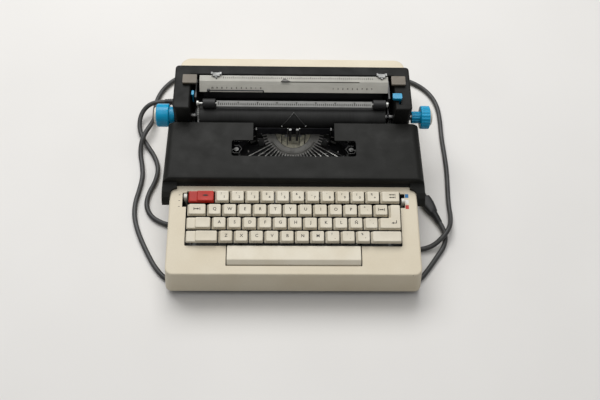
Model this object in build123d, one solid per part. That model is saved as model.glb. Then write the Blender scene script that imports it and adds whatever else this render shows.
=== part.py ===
from build123d import *
import math
import os

os.makedirs("parts", exist_ok=True)

# Electric portable typewriter, in millimetres.
# X runs along the carriage, Y from the space bar to the rear, Z up from the table it stands on.
# The origin is on the table, at the middle of the machine without its lead.

# Machine body
HALF_WIDTH = 162.5
HALF_DEPTH = 169.7
SHELL_BOTTOM = 11.0
SHELL_WALL = 3.0
TOP_HALF_WIDTH = 157.3
TOP_FRONT = -164.0
TOP_REAR = 169.0
LOFT_TOP = 72.0
FRONT_CORNER = 9.0
REAR_CORNER = 15.0
RIM_RADIUS = 2.5
DECK_FRONT_Y = -166.5
DECK_FRONT_Z = 50.0
DECK_REAR_Y = -45.0
DECK_SLOPE = 0.1739
MID_OPEN_REAR = 110.0
REAR_DECK_Z = 62.0
SIDE_RIM_Z = 58.0
FOOT_RADIUS = 10.0
FOOT_X = 135.0
FOOT_FRONT_Y = -138.0
FOOT_REAR_Y = 145.0

# Keyboard
KEY_PITCH = 19.05
KEY_SLOPE = 10.9
ROW_Y = (-68.6, -86.2, -103.4, -120.6)
ROW_Z = (76.2, 72.9, 69.6, 66.2)
CAP_WIDTH = 17.6
CAP_DEPTH = 15.2
CAP_HEIGHT = 4.6
CAP_STEP = 1.9
STEM_LENGTH = 21.9
KEY_TRAVEL = 4.5
WELL = (-136.6, 136.0, -129.3, -57.5)
WELL_CORNER = 1.6
SPACE_SLOT_HALF = 84.8
SPACE_SLOT_FRONT = -154.8
FIRST_KEY_X = (-91.0, -100.6, -94.2, -85.4)
ROW_COUNT = (11, 11, 11, 10)

# Ribbon cover
COVER_WALL = 2.6
COVER_FRONT_Y = -48.4
COVER_REAR_Y = 34.0
COVER_FRONT_TOP = 84.4
COVER_REAR_TOP = 92.2
COVER_BOTTOM = 57.0
COVER_FRONT_HALF = 168.0
COVER_REAR_HALF = 164.8
COVER_SHOULDER = 11.0
COVER_FRONT_EDGE = 3.2
POCKET_HALF = 80.5
POCKET_FRONT = -15.3
POCKET_REAR = 8.0
POCKET_CORNER = 3.4
HORN_X = 149.0
HORN_RADIUS = 9.0
HORN_FRONT = -71.0
HORN_BEND_Y = -64.0
NOTCH_HALF = 53.0

# Carriage, which stands a little left of the middle in its travel
CARRIAGE_X = -1.7
PLATEN_Y = 52.0
PLATEN_Z = 82.5
PLATEN_RADIUS = 16.0
PLATEN_HALF = 122.4
BLOCK_INNER = 133.3
BLOCK_OUTER = 155.0
BLOCK_FRONT = 37.9
CARRIAGE_REAR = 109.0
BAR_FRONT = 93.2
CARRIAGE_TOP = 118.0
CARRIAGE_BOTTOM = 72.5
CARRIAGE_WALL = 2.4
PLATE_OUT = 127.8
PLATE_IN = 125.8
BAIL_Y = 55.2
BAIL_Z = 105.0
BAIL_PIVOT_Y = 70.0
BAIL_PIVOT_Z = 86.0
BAIL_ROLLER_RADIUS = 6.3
KNOB_RADIUS = 15.4

# Type basket
BASKET_Y = 50.0
BASKET_Z = 54.0
BASKET_TILT = 25.0
DISC_RADIUS = 19.0
RING_RADIUS = 30.0
PIVOT_RADIUS = 36.0
PIVOT_DEPTH = 2.2
SLOT_OUTER = 42.0
TYPEBAR_LENGTH = 48.0
TYPEBAR_TAIL = 1.4
TYPEBAR_COUNT = 43
TYPEBAR_SPREAD = 60.0
SHELF_TOP = 35.0

# Mains lead
CORD_DIAMETER = 6.5
FLOOR_Z = 3.6
GLAND_Y = 123.0
GLAND_Z = 19.2
RELIEF_END_X = -183.0


def save(shape, name):
    """Write one piece as parts/NAME.step."""
    shape.label = name
    export_step(shape, f"parts/{name}.step")


def block(x0, x1, y0, y1, z0, z1):
    """A box between two corners."""
    centre = ((x0 + x1) / 2, (y0 + y1) / 2, (z0 + z1) / 2)
    return Pos(*centre) * Box(x1 - x0, y1 - y0, z1 - z0)


def rounded_block(x0, x1, y0, y1, z0, z1, radius):
    """A box between two corners with its upright edges rounded."""
    solid = block(x0, x1, y0, y1, z0, z1)
    return fillet(solid.edges().filter_by(Axis.Z), radius)


def rod_x(x0, x1, y, z, radius):
    """A round bar along X."""
    return Pos((x0 + x1) / 2, y, z) * Rot(0, 90, 0) * Cylinder(radius, x1 - x0)


def rod_y(y0, y1, x, z, radius):
    """A round bar along Y."""
    return Pos(x, (y0 + y1) / 2, z) * Rot(90, 0, 0) * Cylinder(radius, y1 - y0)


def rod_z(z0, z1, x, y, radius):
    """A round bar along Z."""
    return Pos(x, y, (z0 + z1) / 2) * Cylinder(radius, z1 - z0)


def profile_x(points, x0, x1):
    """A closed outline in Y and Z, carried from x0 to x1."""
    face = make_face(Polyline(*[(x0, y, z) for y, z in points], close=True))
    return extrude(face, amount=x1 - x0, dir=(1, 0, 0))


def deck_z(y):
    """Height of the sloping key deck at a given Y."""
    return DECK_FRONT_Z + (y - DECK_FRONT_Y) * DECK_SLOPE


def body_outline(width, depth, inset):
    """A rectangle with tighter corners at the front than at the rear."""
    outline = Rectangle(width, depth)
    outline = fillet(outline.vertices().sort_by(Axis.Y)[:2], FRONT_CORNER - inset)
    return fillet(outline.vertices().sort_by(Axis.Y)[-2:], REAR_CORNER - inset)


def body_form(inset):
    """The outer form of the lower body, drawn in by a given thickness."""
    low_width = 2 * (HALF_WIDTH - inset)
    low_depth = 2 * (HALF_DEPTH - inset)
    low = Plane((0, 0, SHELL_BOTTOM)) * body_outline(low_width, low_depth, inset)
    top_y = (TOP_FRONT + TOP_REAR) / 2
    top_width = 2 * (TOP_HALF_WIDTH - inset)
    top_depth = TOP_REAR - TOP_FRONT - 2 * inset
    top = Plane((0, top_y, LOFT_TOP)) * body_outline(top_width, top_depth, inset)
    return loft([low, top])


def roof(drop, mid_top):
    """Everything under the deck, the side rims and the rear deck, lowered by a given thickness."""
    front = DECK_FRONT_Y - 12.0
    points = [
        (front, 0.0),
        (front, deck_z(front) - drop),
        (DECK_REAR_Y - drop, deck_z(DECK_REAR_Y) - drop),
        (DECK_REAR_Y - drop, mid_top),
        (MID_OPEN_REAR + drop, mid_top),
        (MID_OPEN_REAR + drop, REAR_DECK_Z - drop),
        (200.0, REAR_DECK_Z - drop),
        (200.0, 0.0),
    ]
    return profile_x(points, -200.0, 200.0)


def is_outer_rim(edge):
    """Whether an edge runs round the top of the body: its front, sides, rear or a corner."""
    middle = edge.center()
    steep = abs(edge.tangent_at(0.5).Z) > 0.8
    outside = abs(middle.X) > 150.0 or abs(middle.Y) > 160.0
    corner = abs(middle.X) > 140.0 and abs(middle.Y) > 150.0
    return middle.Z > SHELL_BOTTOM + 1.0 and (outside or corner) and not steep


# Lower body: one moulded shell with the sloping key deck, side rims and rear deck
shell = body_form(0.0) & roof(0.0, SIDE_RIM_Z)
shell = fillet([edge for edge in shell.edges() if is_outer_rim(edge)], RIM_RADIUS)
hollow = body_form(SHELL_WALL) & roof(SHELL_WALL, 90.0)
shell -= hollow
shell -= block(-HALF_WIDTH + 5, HALF_WIDTH - 5, -HALF_DEPTH + 5, HALF_DEPTH - 5, 0.0, SHELL_BOTTOM + 2.0)
shell -= rounded_block(WELL[0], WELL[1], WELL[2], WELL[3], 30.0, 90.0, WELL_CORNER)
shell -= rounded_block(-SPACE_SLOT_HALF, SPACE_SLOT_HALF, SPACE_SLOT_FRONT, WELL[2] + 4.0, 30.0, 90.0, 1.2)
LEVER_SLOT = (-78.5, -59.5)
LEFT_LEVER_X = -137.4
RIGHT_LEVER_X = 138.9
shell -= block(LEFT_LEVER_X - 4.2, WELL[0] + 1.0, LEVER_SLOT[0], LEVER_SLOT[1], 30.0, 90.0)
shell -= block(WELL[1] - 1.0, RIGHT_LEVER_X + 2.8, LEVER_SLOT[0], LEVER_SLOT[1], 30.0, 90.0)
SCREW_X = 148.0
SCREW_FRONT_Y = -112.0
SCREW_REAR_Y = 152.0
for screw_y, boss_top in ((SCREW_FRONT_Y, deck_z(SCREW_FRONT_Y) - 2.0), (SCREW_REAR_Y, REAR_DECK_Z - 2.0)):
    for side in (-1, 1):
        boss = rod_z(SHELL_BOTTOM + 2.2, boss_top, side * SCREW_X, screw_y, 4.5)
        shell += boss
        shell -= rod_z(SHELL_BOTTOM, SHELL_BOTTOM + 16.0, side * SCREW_X, screw_y, 1.6)
shell -= rod_x(-HALF_WIDTH - 5, -HALF_WIDTH + 12, GLAND_Y, GLAND_Z, 6.2)
save(shell, "lower_shell")

# Base plate: the pressed pan that closes the underside and carries the mechanism
base = Plane((0, 0, SHELL_BOTTOM)) * RectangleRounded(
    2 * (HALF_WIDTH - 3.4), 2 * (HALF_DEPTH - 3.4), REAR_CORNER - 3.4
)
base = extrude(base, amount=1.8)
for side in (-1, 1):
    for screw_y in (SCREW_FRONT_Y, SCREW_REAR_Y):
        base -= rod_z(0.0, 20.0, side * SCREW_X, screw_y, 2.1)
    for vent in range(7):
        vent_y = 60.0 + 8.0 * vent
        base -= block(side * 70.0 - 22.0, side * 70.0 + 22.0, vent_y, vent_y + 3.0, 0.0, 20.0)
save(base, "base_plate")

feet = Part()
for side in (-1, 1):
    for foot_y in (FOOT_FRONT_Y, FOOT_REAR_Y):
        foot = Pos(side * FOOT_X, foot_y, SHELL_BOTTOM / 2) * Cone(FOOT_RADIUS - 1.0, FOOT_RADIUS, SHELL_BOTTOM)
        feet += foot
save(feet, "rubber_feet")

screws = Part()
for side in (-1, 1):
    for screw_y in (SCREW_FRONT_Y, SCREW_REAR_Y):
        head = rod_z(SHELL_BOTTOM - 2.2, SHELL_BOTTOM, side * SCREW_X, screw_y, 3.6)
        shank = rod_z(SHELL_BOTTOM - 1.0, SHELL_BOTTOM + 14.0, side * SCREW_X, screw_y, 1.5)
        slot = block(side * SCREW_X - 3.0, side * SCREW_X + 3.0, screw_y - 0.4, screw_y + 0.4, 8.0, 9.6)
        screws += (head + shank) - slot
save(screws, "base_screws")


# Ribbon cover: a moulded lid over the ribbon and type basket, open over the printing point
def cover_section(y, half, top, inset):
    """A cross-section of the cover: upright sides, round shoulders and a flat top."""
    half = half - inset
    top = top - inset
    bottom = COVER_BOTTOM - inset
    outline = make_face(Polyline((-half, bottom), (half, bottom), (half, top), (-half, top), close=True))
    shoulders = outline.vertices().sort_by(Axis.Y)[-2:]
    outline = fillet(shoulders, COVER_SHOULDER - inset)
    return Plane((0, y, 0), x_dir=(1, 0, 0), z_dir=(0, -1, 0)) * outline


def cover_form(inset):
    """The lofted cover form between its front and rear sections, drawn in by a thickness."""
    front = cover_section(-74.0, COVER_FRONT_HALF + 0.4, COVER_FRONT_TOP - 2.0, inset)
    rear = cover_section(COVER_REAR_Y, COVER_REAR_HALF, COVER_REAR_TOP, inset)
    return loft([front, rear])


def cover_side_profile(inset):
    """The cover seen from the side, with its rounded front edge and low front skirt."""
    front = COVER_FRONT_Y + inset
    lower = COVER_BOTTOM - 2 * inset
    rear = COVER_REAR_Y - inset
    outline = make_face(Polyline(
        (front, COVER_FRONT_TOP - inset), (front, 73.0), (front - 6.0, 67.0), (front - 9.0, lower),
        (rear, lower), (rear, COVER_REAR_TOP + 3.0), (front + 10.0, COVER_REAR_TOP + 3.0),
        (front + 10.0, COVER_FRONT_TOP + 1.6 - inset), close=True,
    ))
    corner = outline.vertices().sort_by_distance((front, COVER_FRONT_TOP - inset))[0]
    outline = fillet([corner], COVER_FRONT_EDGE - inset)
    side_plane = Plane((-200, 0, 0), x_dir=(0, 1, 0), z_dir=(1, 0, 0))
    return extrude(side_plane * outline, amount=400.0)


def cover_horns():
    """The skirt's two front ends, which come forward round the deck's corners in a hollow curve."""
    outline = [(-47.0, 77.0), (-52.0, 74.6), (-60.0, 71.6), (-66.0, 68.0), (-70.0, 63.0), (HORN_FRONT, 57.0)]
    outline.append((-47.0, 57.0))
    form = profile_x(outline, -175.0, 175.0) & cover_form(0.0)
    side_x = HORN_X + HORN_RADIUS
    form -= block(-HORN_X, HORN_X, -80.0, -40.0, 40.0, 90.0)
    for side in (-1, 1):
        form -= rod_z(40.0, 90.0, side * HORN_X, HORN_BEND_Y, HORN_RADIUS)
        inner = min(side * HORN_X, side * side_x)
        form -= block(inner, inner + HORN_RADIUS, -80.0, HORN_BEND_Y, 40.0, 90.0)
    return form


cover = cover_form(0.0) & cover_side_profile(0.0)
cover -= cover_form(COVER_WALL) & cover_side_profile(COVER_WALL)
cover += cover_horns()
deck_clearance = body_form(-0.6) & roof(-0.6, deck_z(DECK_REAR_Y) - 2.0)
cover -= deck_clearance
cover -= rounded_block(-POCKET_HALF, POCKET_HALF, POCKET_FRONT, POCKET_REAR, 60.0, 110.0, POCKET_CORNER)
cover -= block(-NOTCH_HALF, NOTCH_HALF, POCKET_REAR - 1.0, 60.0, 50.0, 110.0)
cover -= block(-200.0, 200.0, COVER_REAR_Y - COVER_WALL - 1.0, 60.0, 50.0, 80.0)
save(cover, "ribbon_cover")


# Keys: moulded caps on blade stems; every row slides along its own slope
def key_cap(width, top_left=2.8, top_right=0.6, depth=CAP_DEPTH, rear=0.6, front=1.6, height=CAP_HEIGHT):
    """A tapered cap whose smaller top face is offset to the right and rear."""
    low = Plane((0, 0, -height)) * RectangleRounded(width, depth, 1.2)
    centre_x = (top_left - top_right) / 2
    centre_y = (front - rear) / 2
    top = Plane((centre_x, centre_y, 0)) * RectangleRounded(
        width - top_left - top_right, depth - front - rear, 1.6
    )
    return loft([low, top])


def stepped_cap(width, step_width):
    """A wide cap with a low step at the left and a raised top over the rest."""
    low_height = CAP_HEIGHT - CAP_STEP
    low = Pos(0, 0, -CAP_STEP) * key_cap(width, 1.4, 0.6, height=low_height, front=1.0)
    raised_width = width - step_width
    raised = Pos(step_width / 2, 0, 0) * key_cap(raised_width)
    return low + raised


def key_stem():
    """The flat blade under a cap."""
    return Pos(0, 0, -CAP_HEIGHT - STEM_LENGTH / 2 + 0.5) * Box(1.4, 6.0, STEM_LENGTH)


def place_key(shape, x, row):
    """Set a cap, drawn about its top centre, on its row."""
    return Pos(x, ROW_Y[row], ROW_Z[row]) * Rot(KEY_SLOPE, 0, 0) * shape


ROW_NAMES = ("number_row_keys", "upper_letter_keys", "home_row_keys", "lower_letter_keys")
for row, row_name in enumerate(ROW_NAMES):
    single = key_cap(CAP_WIDTH) + key_stem()
    keys = []
    for index in range(ROW_COUNT[row]):
        keys.append(place_key(single, FIRST_KEY_X[row] + KEY_PITCH * index, row))
    save(Compound(children=keys), row_name)


def wide_key(x0, x1, row, step=0.0):
    """One wide key between two X limits, plain or stepped, on two stems."""
    width = x1 - x0
    cap = stepped_cap(width, step) if step else key_cap(width)
    stems = Pos(-width / 2 + 6.0, 0, 0) * key_stem() + Pos(width / 2 - 6.0, 0, 0) * key_stem()
    return place_key(cap + stems, (x0 + x1) / 2, row)


save(wide_key(-133.4, -101.2, 0, 9.0), "red_key")
save(wide_key(109.6, 134.0, 0), "backspace_key")
save(wide_key(-134.0, -110.9, 1), "tab_key")
save(wide_key(100.4, 118.2, 1), "margin_release_key")
save(wide_key(-134.6, -104.4, 2, 9.0), "shift_lock_key")
shift_pair = [wide_key(-134.8, -95.6, 3, 10.0), wide_key(96.0, 134.4, 3)]
save(Compound(children=shift_pair), "shift_keys")

RETURN_ARM = (119.6, 134.2)
RETURN_FOOT = (106.0, 134.2)
arm_width = RETURN_ARM[1] - RETURN_ARM[0]
foot_width = RETURN_FOOT[1] - RETURN_FOOT[0]
row_run = math.hypot(ROW_Y[1] - ROW_Y[2], ROW_Z[1] - ROW_Z[2])
foot_cap = key_cap(foot_width)
arm_depth = CAP_DEPTH + row_run
arm_cap = Pos((foot_width - arm_width) / 2, row_run / 2, 0) * key_cap(arm_width, depth=arm_depth)
return_key = foot_cap + arm_cap + key_stem() + Pos((foot_width - arm_width) / 2, row_run, 0) * key_stem()
save(place_key(return_key, (RETURN_FOOT[0] + RETURN_FOOT[1]) / 2, 2), "return_key")

SPACE_HALF = 83.4
SPACE_PROFILE = [(-130.2, 58.6), (-148.6, 57.2), (-153.7, 52.6), (-153.7, 48.0), (-130.2, 50.0)]
space = profile_x(SPACE_PROFILE, -SPACE_HALF, SPACE_HALF)
space_long = [edge for edge in space.edges().filter_by(Axis.X) if edge.center().Y < -140.0]
space = fillet([edge for edge in space_long if edge.center().Z > 51.0], 2.4)
space_ends = [edge for edge in space.edges() if abs(edge.center().X) > SPACE_HALF - 0.1]
space = fillet([edge for edge in space_ends if edge.center().Z > 50.5], 1.0)
for side in (-1, 1):
    space += block(side * 60.0 - 1.0, side * 60.0 + 1.0, -145.0, -137.0, 36.0, 50.0)
save(space, "space_bar")

# Key levers under the keyboard, on one pivot shaft and guided by a comb
LEVER_Z = 26.0
LEVER_PIVOT_Y = 30.0
COMB_Y = -45.0
lever_places = []
for row in range(4):
    for index in range(ROW_COUNT[row]):
        lever_places.append((FIRST_KEY_X[row] + KEY_PITCH * index, ROW_Y[row], ROW_Z[row]))
levers = []
for lever_x, key_y, key_z in lever_places:
    tip_z = key_z - CAP_HEIGHT - STEM_LENGTH - KEY_TRAVEL - 1.5
    outline = [
        (LEVER_PIVOT_Y + 5.0, LEVER_Z - 3.0), (LEVER_PIVOT_Y + 5.0, LEVER_Z + 3.0),
        (key_y + 12.0, LEVER_Z + 3.0), (key_y + 4.0, tip_z), (key_y - 4.0, tip_z),
        (key_y - 4.0, LEVER_Z - 3.0),
    ]
    lever = profile_x(outline, lever_x - 0.6, lever_x + 0.6)
    lever -= rod_x(lever_x - 2.0, lever_x + 2.0, LEVER_PIVOT_Y, LEVER_Z, 2.05)
    levers.append(lever)
save(Compound(children=levers), "key_levers")

shaft = rod_x(-140.0, 140.0, LEVER_PIVOT_Y, LEVER_Z, 2.0)
save(shaft, "lever_shaft")
brackets = Part()
BASE_TOP = SHELL_BOTTOM + 1.8
for side in (-1, 1):
    bracket = block(side * 138.0 - 1.0, side * 138.0 + 1.0, 22.0, 38.0, BASE_TOP, SHELF_TOP - 1.0)
    bracket -= rod_x(side * 138.0 - 2.0, side * 138.0 + 2.0, LEVER_PIVOT_Y, LEVER_Z, 2.05)
    foot_strip = block(side * 138.0 - 8.0, side * 138.0 + 8.0, 22.0, 38.0, BASE_TOP, BASE_TOP + 1.5)
    brackets += bracket + foot_strip
comb = block(-136.0, 136.0, COMB_Y - 1.5, COMB_Y + 1.5, BASE_TOP, 33.0)
for lever_x, key_y, key_z in lever_places:
    comb -= block(lever_x - 0.9, lever_x + 0.9, COMB_Y - 3.0, COMB_Y + 3.0, LEVER_Z - 6.0, 40.0)
brackets += comb

# Type basket: slotted segment, typebars, the rest that they lie on, and the plate in the middle
basket = Location((0, BASKET_Y, BASKET_Z), (BASKET_TILT, 0, 0))


def half_ring(outer, inner, low, high):
    """Half a ring on the operator's side, between two heights."""
    ring = Pos(0, 0, (low + high) / 2) * (Cylinder(outer, high - low) - Cylinder(inner, high - low + 2))
    return ring & Pos(0, -50.0, (low + high) / 2) * Box(200.0, 100.0, high - low)


typebar_angles = []
for index in range(TYPEBAR_COUNT):
    typebar_angles.append(-TYPEBAR_SPREAD + 2 * TYPEBAR_SPREAD * index / (TYPEBAR_COUNT - 1))
segment = half_ring(SLOT_OUTER, 0.5, -6.0, -3.6)
segment += half_ring(SLOT_OUTER, DISC_RADIUS, -4.0, -1.2)
segment += half_ring(RING_RADIUS, DISC_RADIUS, -2.0, 0.0)
segment += half_ring(DISC_RADIUS - 0.6, 0.5, -4.0, -0.6)
SLOT_LENGTH = SLOT_OUTER - RING_RADIUS + 4.0
for angle in typebar_angles:
    slot = Pos(0, -RING_RADIUS - 1.5 - SLOT_LENGTH / 2, -1.5) * Box(1.1, SLOT_LENGTH, 6.0)
    segment -= Rot(0, 0, angle) * slot
segment += Pos(0, 2.0, -3.6) * Box(2 * 58.0, 4.0, 4.8)
segment = basket * segment
LEG_TOP = 51.0
for side in (-1, 1):
    leg_x = side * 53.2
    segment += block(leg_x - 4.8, leg_x + 4.8, 38.0, 44.0, SHELF_TOP, LEG_TOP)
    segment += block(leg_x - 4.8, leg_x + 4.8, 38.0, 53.0, LEG_TOP - 3.0, LEG_TOP)


def typebar():
    """One typebar raised from the segment by its tilt, with a type slug at its end."""
    bar = Pos(0, (TYPEBAR_TAIL - TYPEBAR_LENGTH) / 2, 0) * Box(0.8, TYPEBAR_LENGTH + TYPEBAR_TAIL, 3.0)
    slug = Pos(0, -TYPEBAR_LENGTH, 0.6) * Box(2.4, 3.0, 7.0)
    return Pos(0, -PIVOT_RADIUS, -PIVOT_DEPTH) * Rot(-BASKET_TILT, 0, 0) * (bar + slug)


bars = []
middle = TYPEBAR_COUNT // 2
for index, angle in enumerate(typebar_angles):
    if index != middle:
        bars.append(basket * Rot(0, 0, angle) * typebar())
save(Compound(children=bars), "typebars")
save(basket * typebar(), "centre_typebar")

REST_OUTER = 70.0
REST_INNER = 67.0
rest_pad = half_ring(REST_OUTER, REST_INNER, 6.0, 10.3)
rest_pad = rest_pad & Pos(0, -50.0, 8.0) * Box(122.0, 100.0, 12.0)
rest_pad = basket * rest_pad
for side in (-1, 1):
    rest_pad += block(side * 50.0 - 2.0, side * 50.0 + 2.0, 1.6, 6.8, SHELF_TOP, 41.5)
save(Compound(children=[segment, rest_pad]), "type_segment")

# Ribbon: two spools, the band between them and the guides that lead it past the printing point
SPOOL_X = 112.0
SPOOL_Y = 0.0
SPOOL_RADIUS = 20.0
RIBBON_LOW = 69.6
RIBBON_HIGH = 82.6
RIBBON_THICK = 0.4
GUIDE_X = 74.5
GUIDE_Y = -2.0
ARM_X = 50.5
ARM_Y = 32.4
for side, spool_name in ((-1, "ribbon_spool_left"), (1, "ribbon_spool_right")):
    spool = rod_z(RIBBON_LOW - 1.6, RIBBON_LOW - 0.4, side * SPOOL_X, SPOOL_Y, SPOOL_RADIUS)
    spool += rod_z(RIBBON_LOW - 0.4, RIBBON_HIGH + 0.4, side * SPOOL_X, SPOOL_Y, 14.0)
    spool += rod_z(RIBBON_HIGH + 0.4, RIBBON_HIGH + 1.6, side * SPOOL_X, SPOOL_Y, SPOOL_RADIUS)
    spool -= rod_z(50.0, 90.0, side * SPOOL_X, SPOOL_Y, 4.05)
    save(spool, spool_name)
LOOP_POINTS = [(6.6, -1.0), (3.4, -6.2), (-3.6, -6.4), (-7.0, 0.2), (-3.0, 5.6), (3.2, 5.2)]


def wire(points, radius):
    """A round wire along straight runs with mitred corners."""
    path = Polyline(*points)
    start = Plane(origin=points[0], z_dir=path % 0.0)
    return sweep(start * Circle(radius), path=path, transition=Transition.RIGHT)


guides = Part()
for side in (-1, 1):
    guides += rod_z(SHELF_TOP, RIBBON_LOW - 2.0, side * SPOOL_X, SPOOL_Y, 6.0)
    guides += rod_z(RIBBON_LOW - 2.1, RIBBON_HIGH + 1.4, side * SPOOL_X, SPOOL_Y, 4.0)
    post = rod_z(SHELF_TOP, RIBBON_LOW - 0.6, side * GUIDE_X, GUIDE_Y, 2.2)
    flange = rod_z(RIBBON_LOW - 0.9, RIBBON_LOW - 0.1, side * GUIDE_X, GUIDE_Y, 5.0)
    pulley = rod_z(RIBBON_LOW - 0.2, RIBBON_HIGH + 0.2, side * GUIDE_X, GUIDE_Y, 2.6)
    cap = rod_z(RIBBON_HIGH + 0.1, RIBBON_HIGH + 1.1, side * GUIDE_X, GUIDE_Y, 3.0)
    guides += post + flange + pulley + cap
    loop = [(side * (GUIDE_X + x), GUIDE_Y + y, RIBBON_HIGH + 1.4) for x, y in LOOP_POINTS]
    guides += wire(loop, 0.5)
    arm_low = min(side * GUIDE_X, side * (GUIDE_X + LOOP_POINTS[0][0]))
    arm_high = max(side * GUIDE_X, side * (GUIDE_X + LOOP_POINTS[0][0]))
    arm_y = GUIDE_Y + LOOP_POINTS[0][1]
    guides += block(arm_low, arm_high, arm_y - 0.5, arm_y + 0.5, RIBBON_HIGH + 1.0, RIBBON_HIGH + 1.8)
    arm_x = side * (ARM_X - 1.3)
    guides += block(arm_x - 0.8, arm_x + 0.8, ARM_Y - 4.4, ARM_Y - 0.4, LEG_TOP, RIBBON_HIGH + 2.0)
    guides += block(arm_x - 0.8, arm_x + 0.8, ARM_Y - 4.4, 44.0, LEG_TOP, LEG_TOP + 2.0)
save(guides, "ribbon_guides")


def band(x0, y0, x1, y1):
    """A straight stretch of ribbon standing on edge between two points."""
    length = math.hypot(x1 - x0, y1 - y0)
    angle = math.degrees(math.atan2(y1 - y0, x1 - x0))
    strip = Box(length, RIBBON_THICK, RIBBON_HIGH - RIBBON_LOW)
    return Pos((x0 + x1) / 2, (y0 + y1) / 2, (RIBBON_LOW + RIBBON_HIGH) / 2) * Rot(0, 0, angle) * strip


ribbon = band(-ARM_X, ARM_Y, ARM_X, ARM_Y)
TURN_X = GUIDE_X + 3.6
for side in (-1, 1):
    ribbon += band(side * ARM_X, ARM_Y, side * TURN_X, GUIDE_Y)
    ribbon += band(side * TURN_X, GUIDE_Y, side * (SPOOL_X - 11.5), SPOOL_Y - 9.3)
save(ribbon, "ink_ribbon")

vibrator = block(-9.0, 9.0, 30.2, 31.2, 66.6, 68.8)
for side in (-1, 1):
    vibrator += block(side * 8.0 - 0.5, side * 8.0 + 0.5, 30.2, 31.2, 46.4, 84.6)
save(vibrator, "ribbon_vibrator")


GUIDE_HALF = 15.5
guide_path = []
for step in range(7):
    share = step / 6
    turn = math.radians(10.0 + 60.0 * share)
    reach = PLATEN_RADIUS + 1.7
    guide_path.append((
        -GUIDE_HALF * (1 - share), PLATEN_Y - reach * math.cos(turn), PLATEN_Z + reach * math.sin(turn)
    ))
mirrored = [(-x, y, z) for x, y, z in reversed(guide_path[:-1])]
card_guide = wire(guide_path + mirrored, 0.5)
foot_y = guide_path[0][1]
card_guide += block(-GUIDE_HALF - 0.6, GUIDE_HALF + 0.6, foot_y - 1.4, foot_y + 0.2, 66.8, 68.8)
GUIDE_FOOT_Z = 46.3
for side in (-1, 1):
    card_guide += block(
        side * GUIDE_HALF - 0.6, side * GUIDE_HALF + 0.6, foot_y - 1.4, foot_y + 0.2, GUIDE_FOOT_Z, guide_path[0][2]
    )
GUIDE_ARM_Z = 62.0
for side in (-1, 1):
    inner_x = side * 4.6 - 1.6
    outer_x = side * 4.6 + 1.6
    card_guide += block(inner_x, outer_x, 26.6, 29.4, GUIDE_ARM_Z, 86.0)
    card_guide += block(inner_x, outer_x, 26.6, foot_y + 0.1, GUIDE_ARM_Z, GUIDE_ARM_Z + 2.4)
    card_guide += block(inner_x, outer_x, foot_y - 1.4, foot_y + 0.1, GUIDE_ARM_Z, 67.0)
save(card_guide, "card_guide")

# Fixed rails under the carriage, and the tie plates that hold them
RAIL_FRONT = (76.0, 80.0, 66.0)
RAIL_REAR = (98.0, 104.0, 71.0)
rails = block(-154.0, 154.0, RAIL_FRONT[0], RAIL_FRONT[1], 59.0, RAIL_FRONT[2])
rails += block(-154.0, 154.0, RAIL_REAR[0], RAIL_REAR[1], 59.0, RAIL_REAR[2])
for side in (-1, 1):
    plate_x = side * 146.0
    rails += block(plate_x - 1.2, plate_x + 1.2, -16.0, 106.0, BASE_TOP, SHELF_TOP)
    rails += block(plate_x - 1.2, plate_x + 1.2, 44.0, 106.0, BASE_TOP, 59.5)
    rails += block(plate_x - 7.0, plate_x + 7.0, -16.0, 106.0, BASE_TOP, BASE_TOP + 2.0)
    rails += block(side * 96.6 - 49.6, side * 96.6 + 49.6, -16.0, 44.0, SHELF_TOP - 2.0, SHELF_TOP)
brackets += rails

# Drive: motor, belt, fluted power roller, spring drum and bell
MOTOR_X = -92.0
MOTOR_Y = 140.0
MOTOR_Z = 38.0
BELT_X = -132.0
ROLLER_Y = 62.0
ROLLER_Z = 30.0
motor = rod_x(MOTOR_X - 28.0, MOTOR_X + 28.0, MOTOR_Y, MOTOR_Z, 19.0)
motor += block(MOTOR_X - 20.0, MOTOR_X + 20.0, MOTOR_Y - 12.0, MOTOR_Y + 12.0, BASE_TOP, MOTOR_Z - 10.0)
motor -= rod_x(MOTOR_X - 40.0, MOTOR_X + 40.0, MOTOR_Y, MOTOR_Z, 3.05)
save(motor, "drive_motor")
motor_shaft = rod_x(BELT_X - 5.0, MOTOR_X + 27.0, MOTOR_Y, MOTOR_Z, 3.0)
motor_pulley = rod_x(BELT_X - 4.0, BELT_X + 4.0, MOTOR_Y, MOTOR_Z, 6.0)
save(motor_shaft + motor_pulley, "motor_shaft")
roller = rod_x(-118.0, 118.0, ROLLER_Y, ROLLER_Z, 7.0)
FLUTES = 24
for flute in range(FLUTES):
    turn = 2 * math.pi * flute / FLUTES
    groove = block(-119.0, 119.0, -0.35, 0.35, -0.4, 0.4)
    shift = Pos(0, ROLLER_Y + 7.0 * math.cos(turn), ROLLER_Z + 7.0 * math.sin(turn))
    roller -= shift * groove
roller += rod_x(-138.0, 138.0, ROLLER_Y, ROLLER_Z, 3.0)
roller += rod_x(BELT_X - 4.0, BELT_X + 4.0, ROLLER_Y, ROLLER_Z, 13.0)
save(roller, "power_roller")
for bearing_x in (-124.0, 136.0):
    bearing = block(bearing_x - 2.0, bearing_x + 2.0, ROLLER_Y - 8.0, ROLLER_Y + 8.0, BASE_TOP, ROLLER_Z + 7.0)
    brackets += bearing - rod_x(bearing_x - 3.0, bearing_x + 3.0, ROLLER_Y, ROLLER_Z, 3.05)

belt_dy = MOTOR_Y - ROLLER_Y
belt_dz = MOTOR_Z - ROLLER_Z
belt_span = math.hypot(belt_dy, belt_dz)


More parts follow.
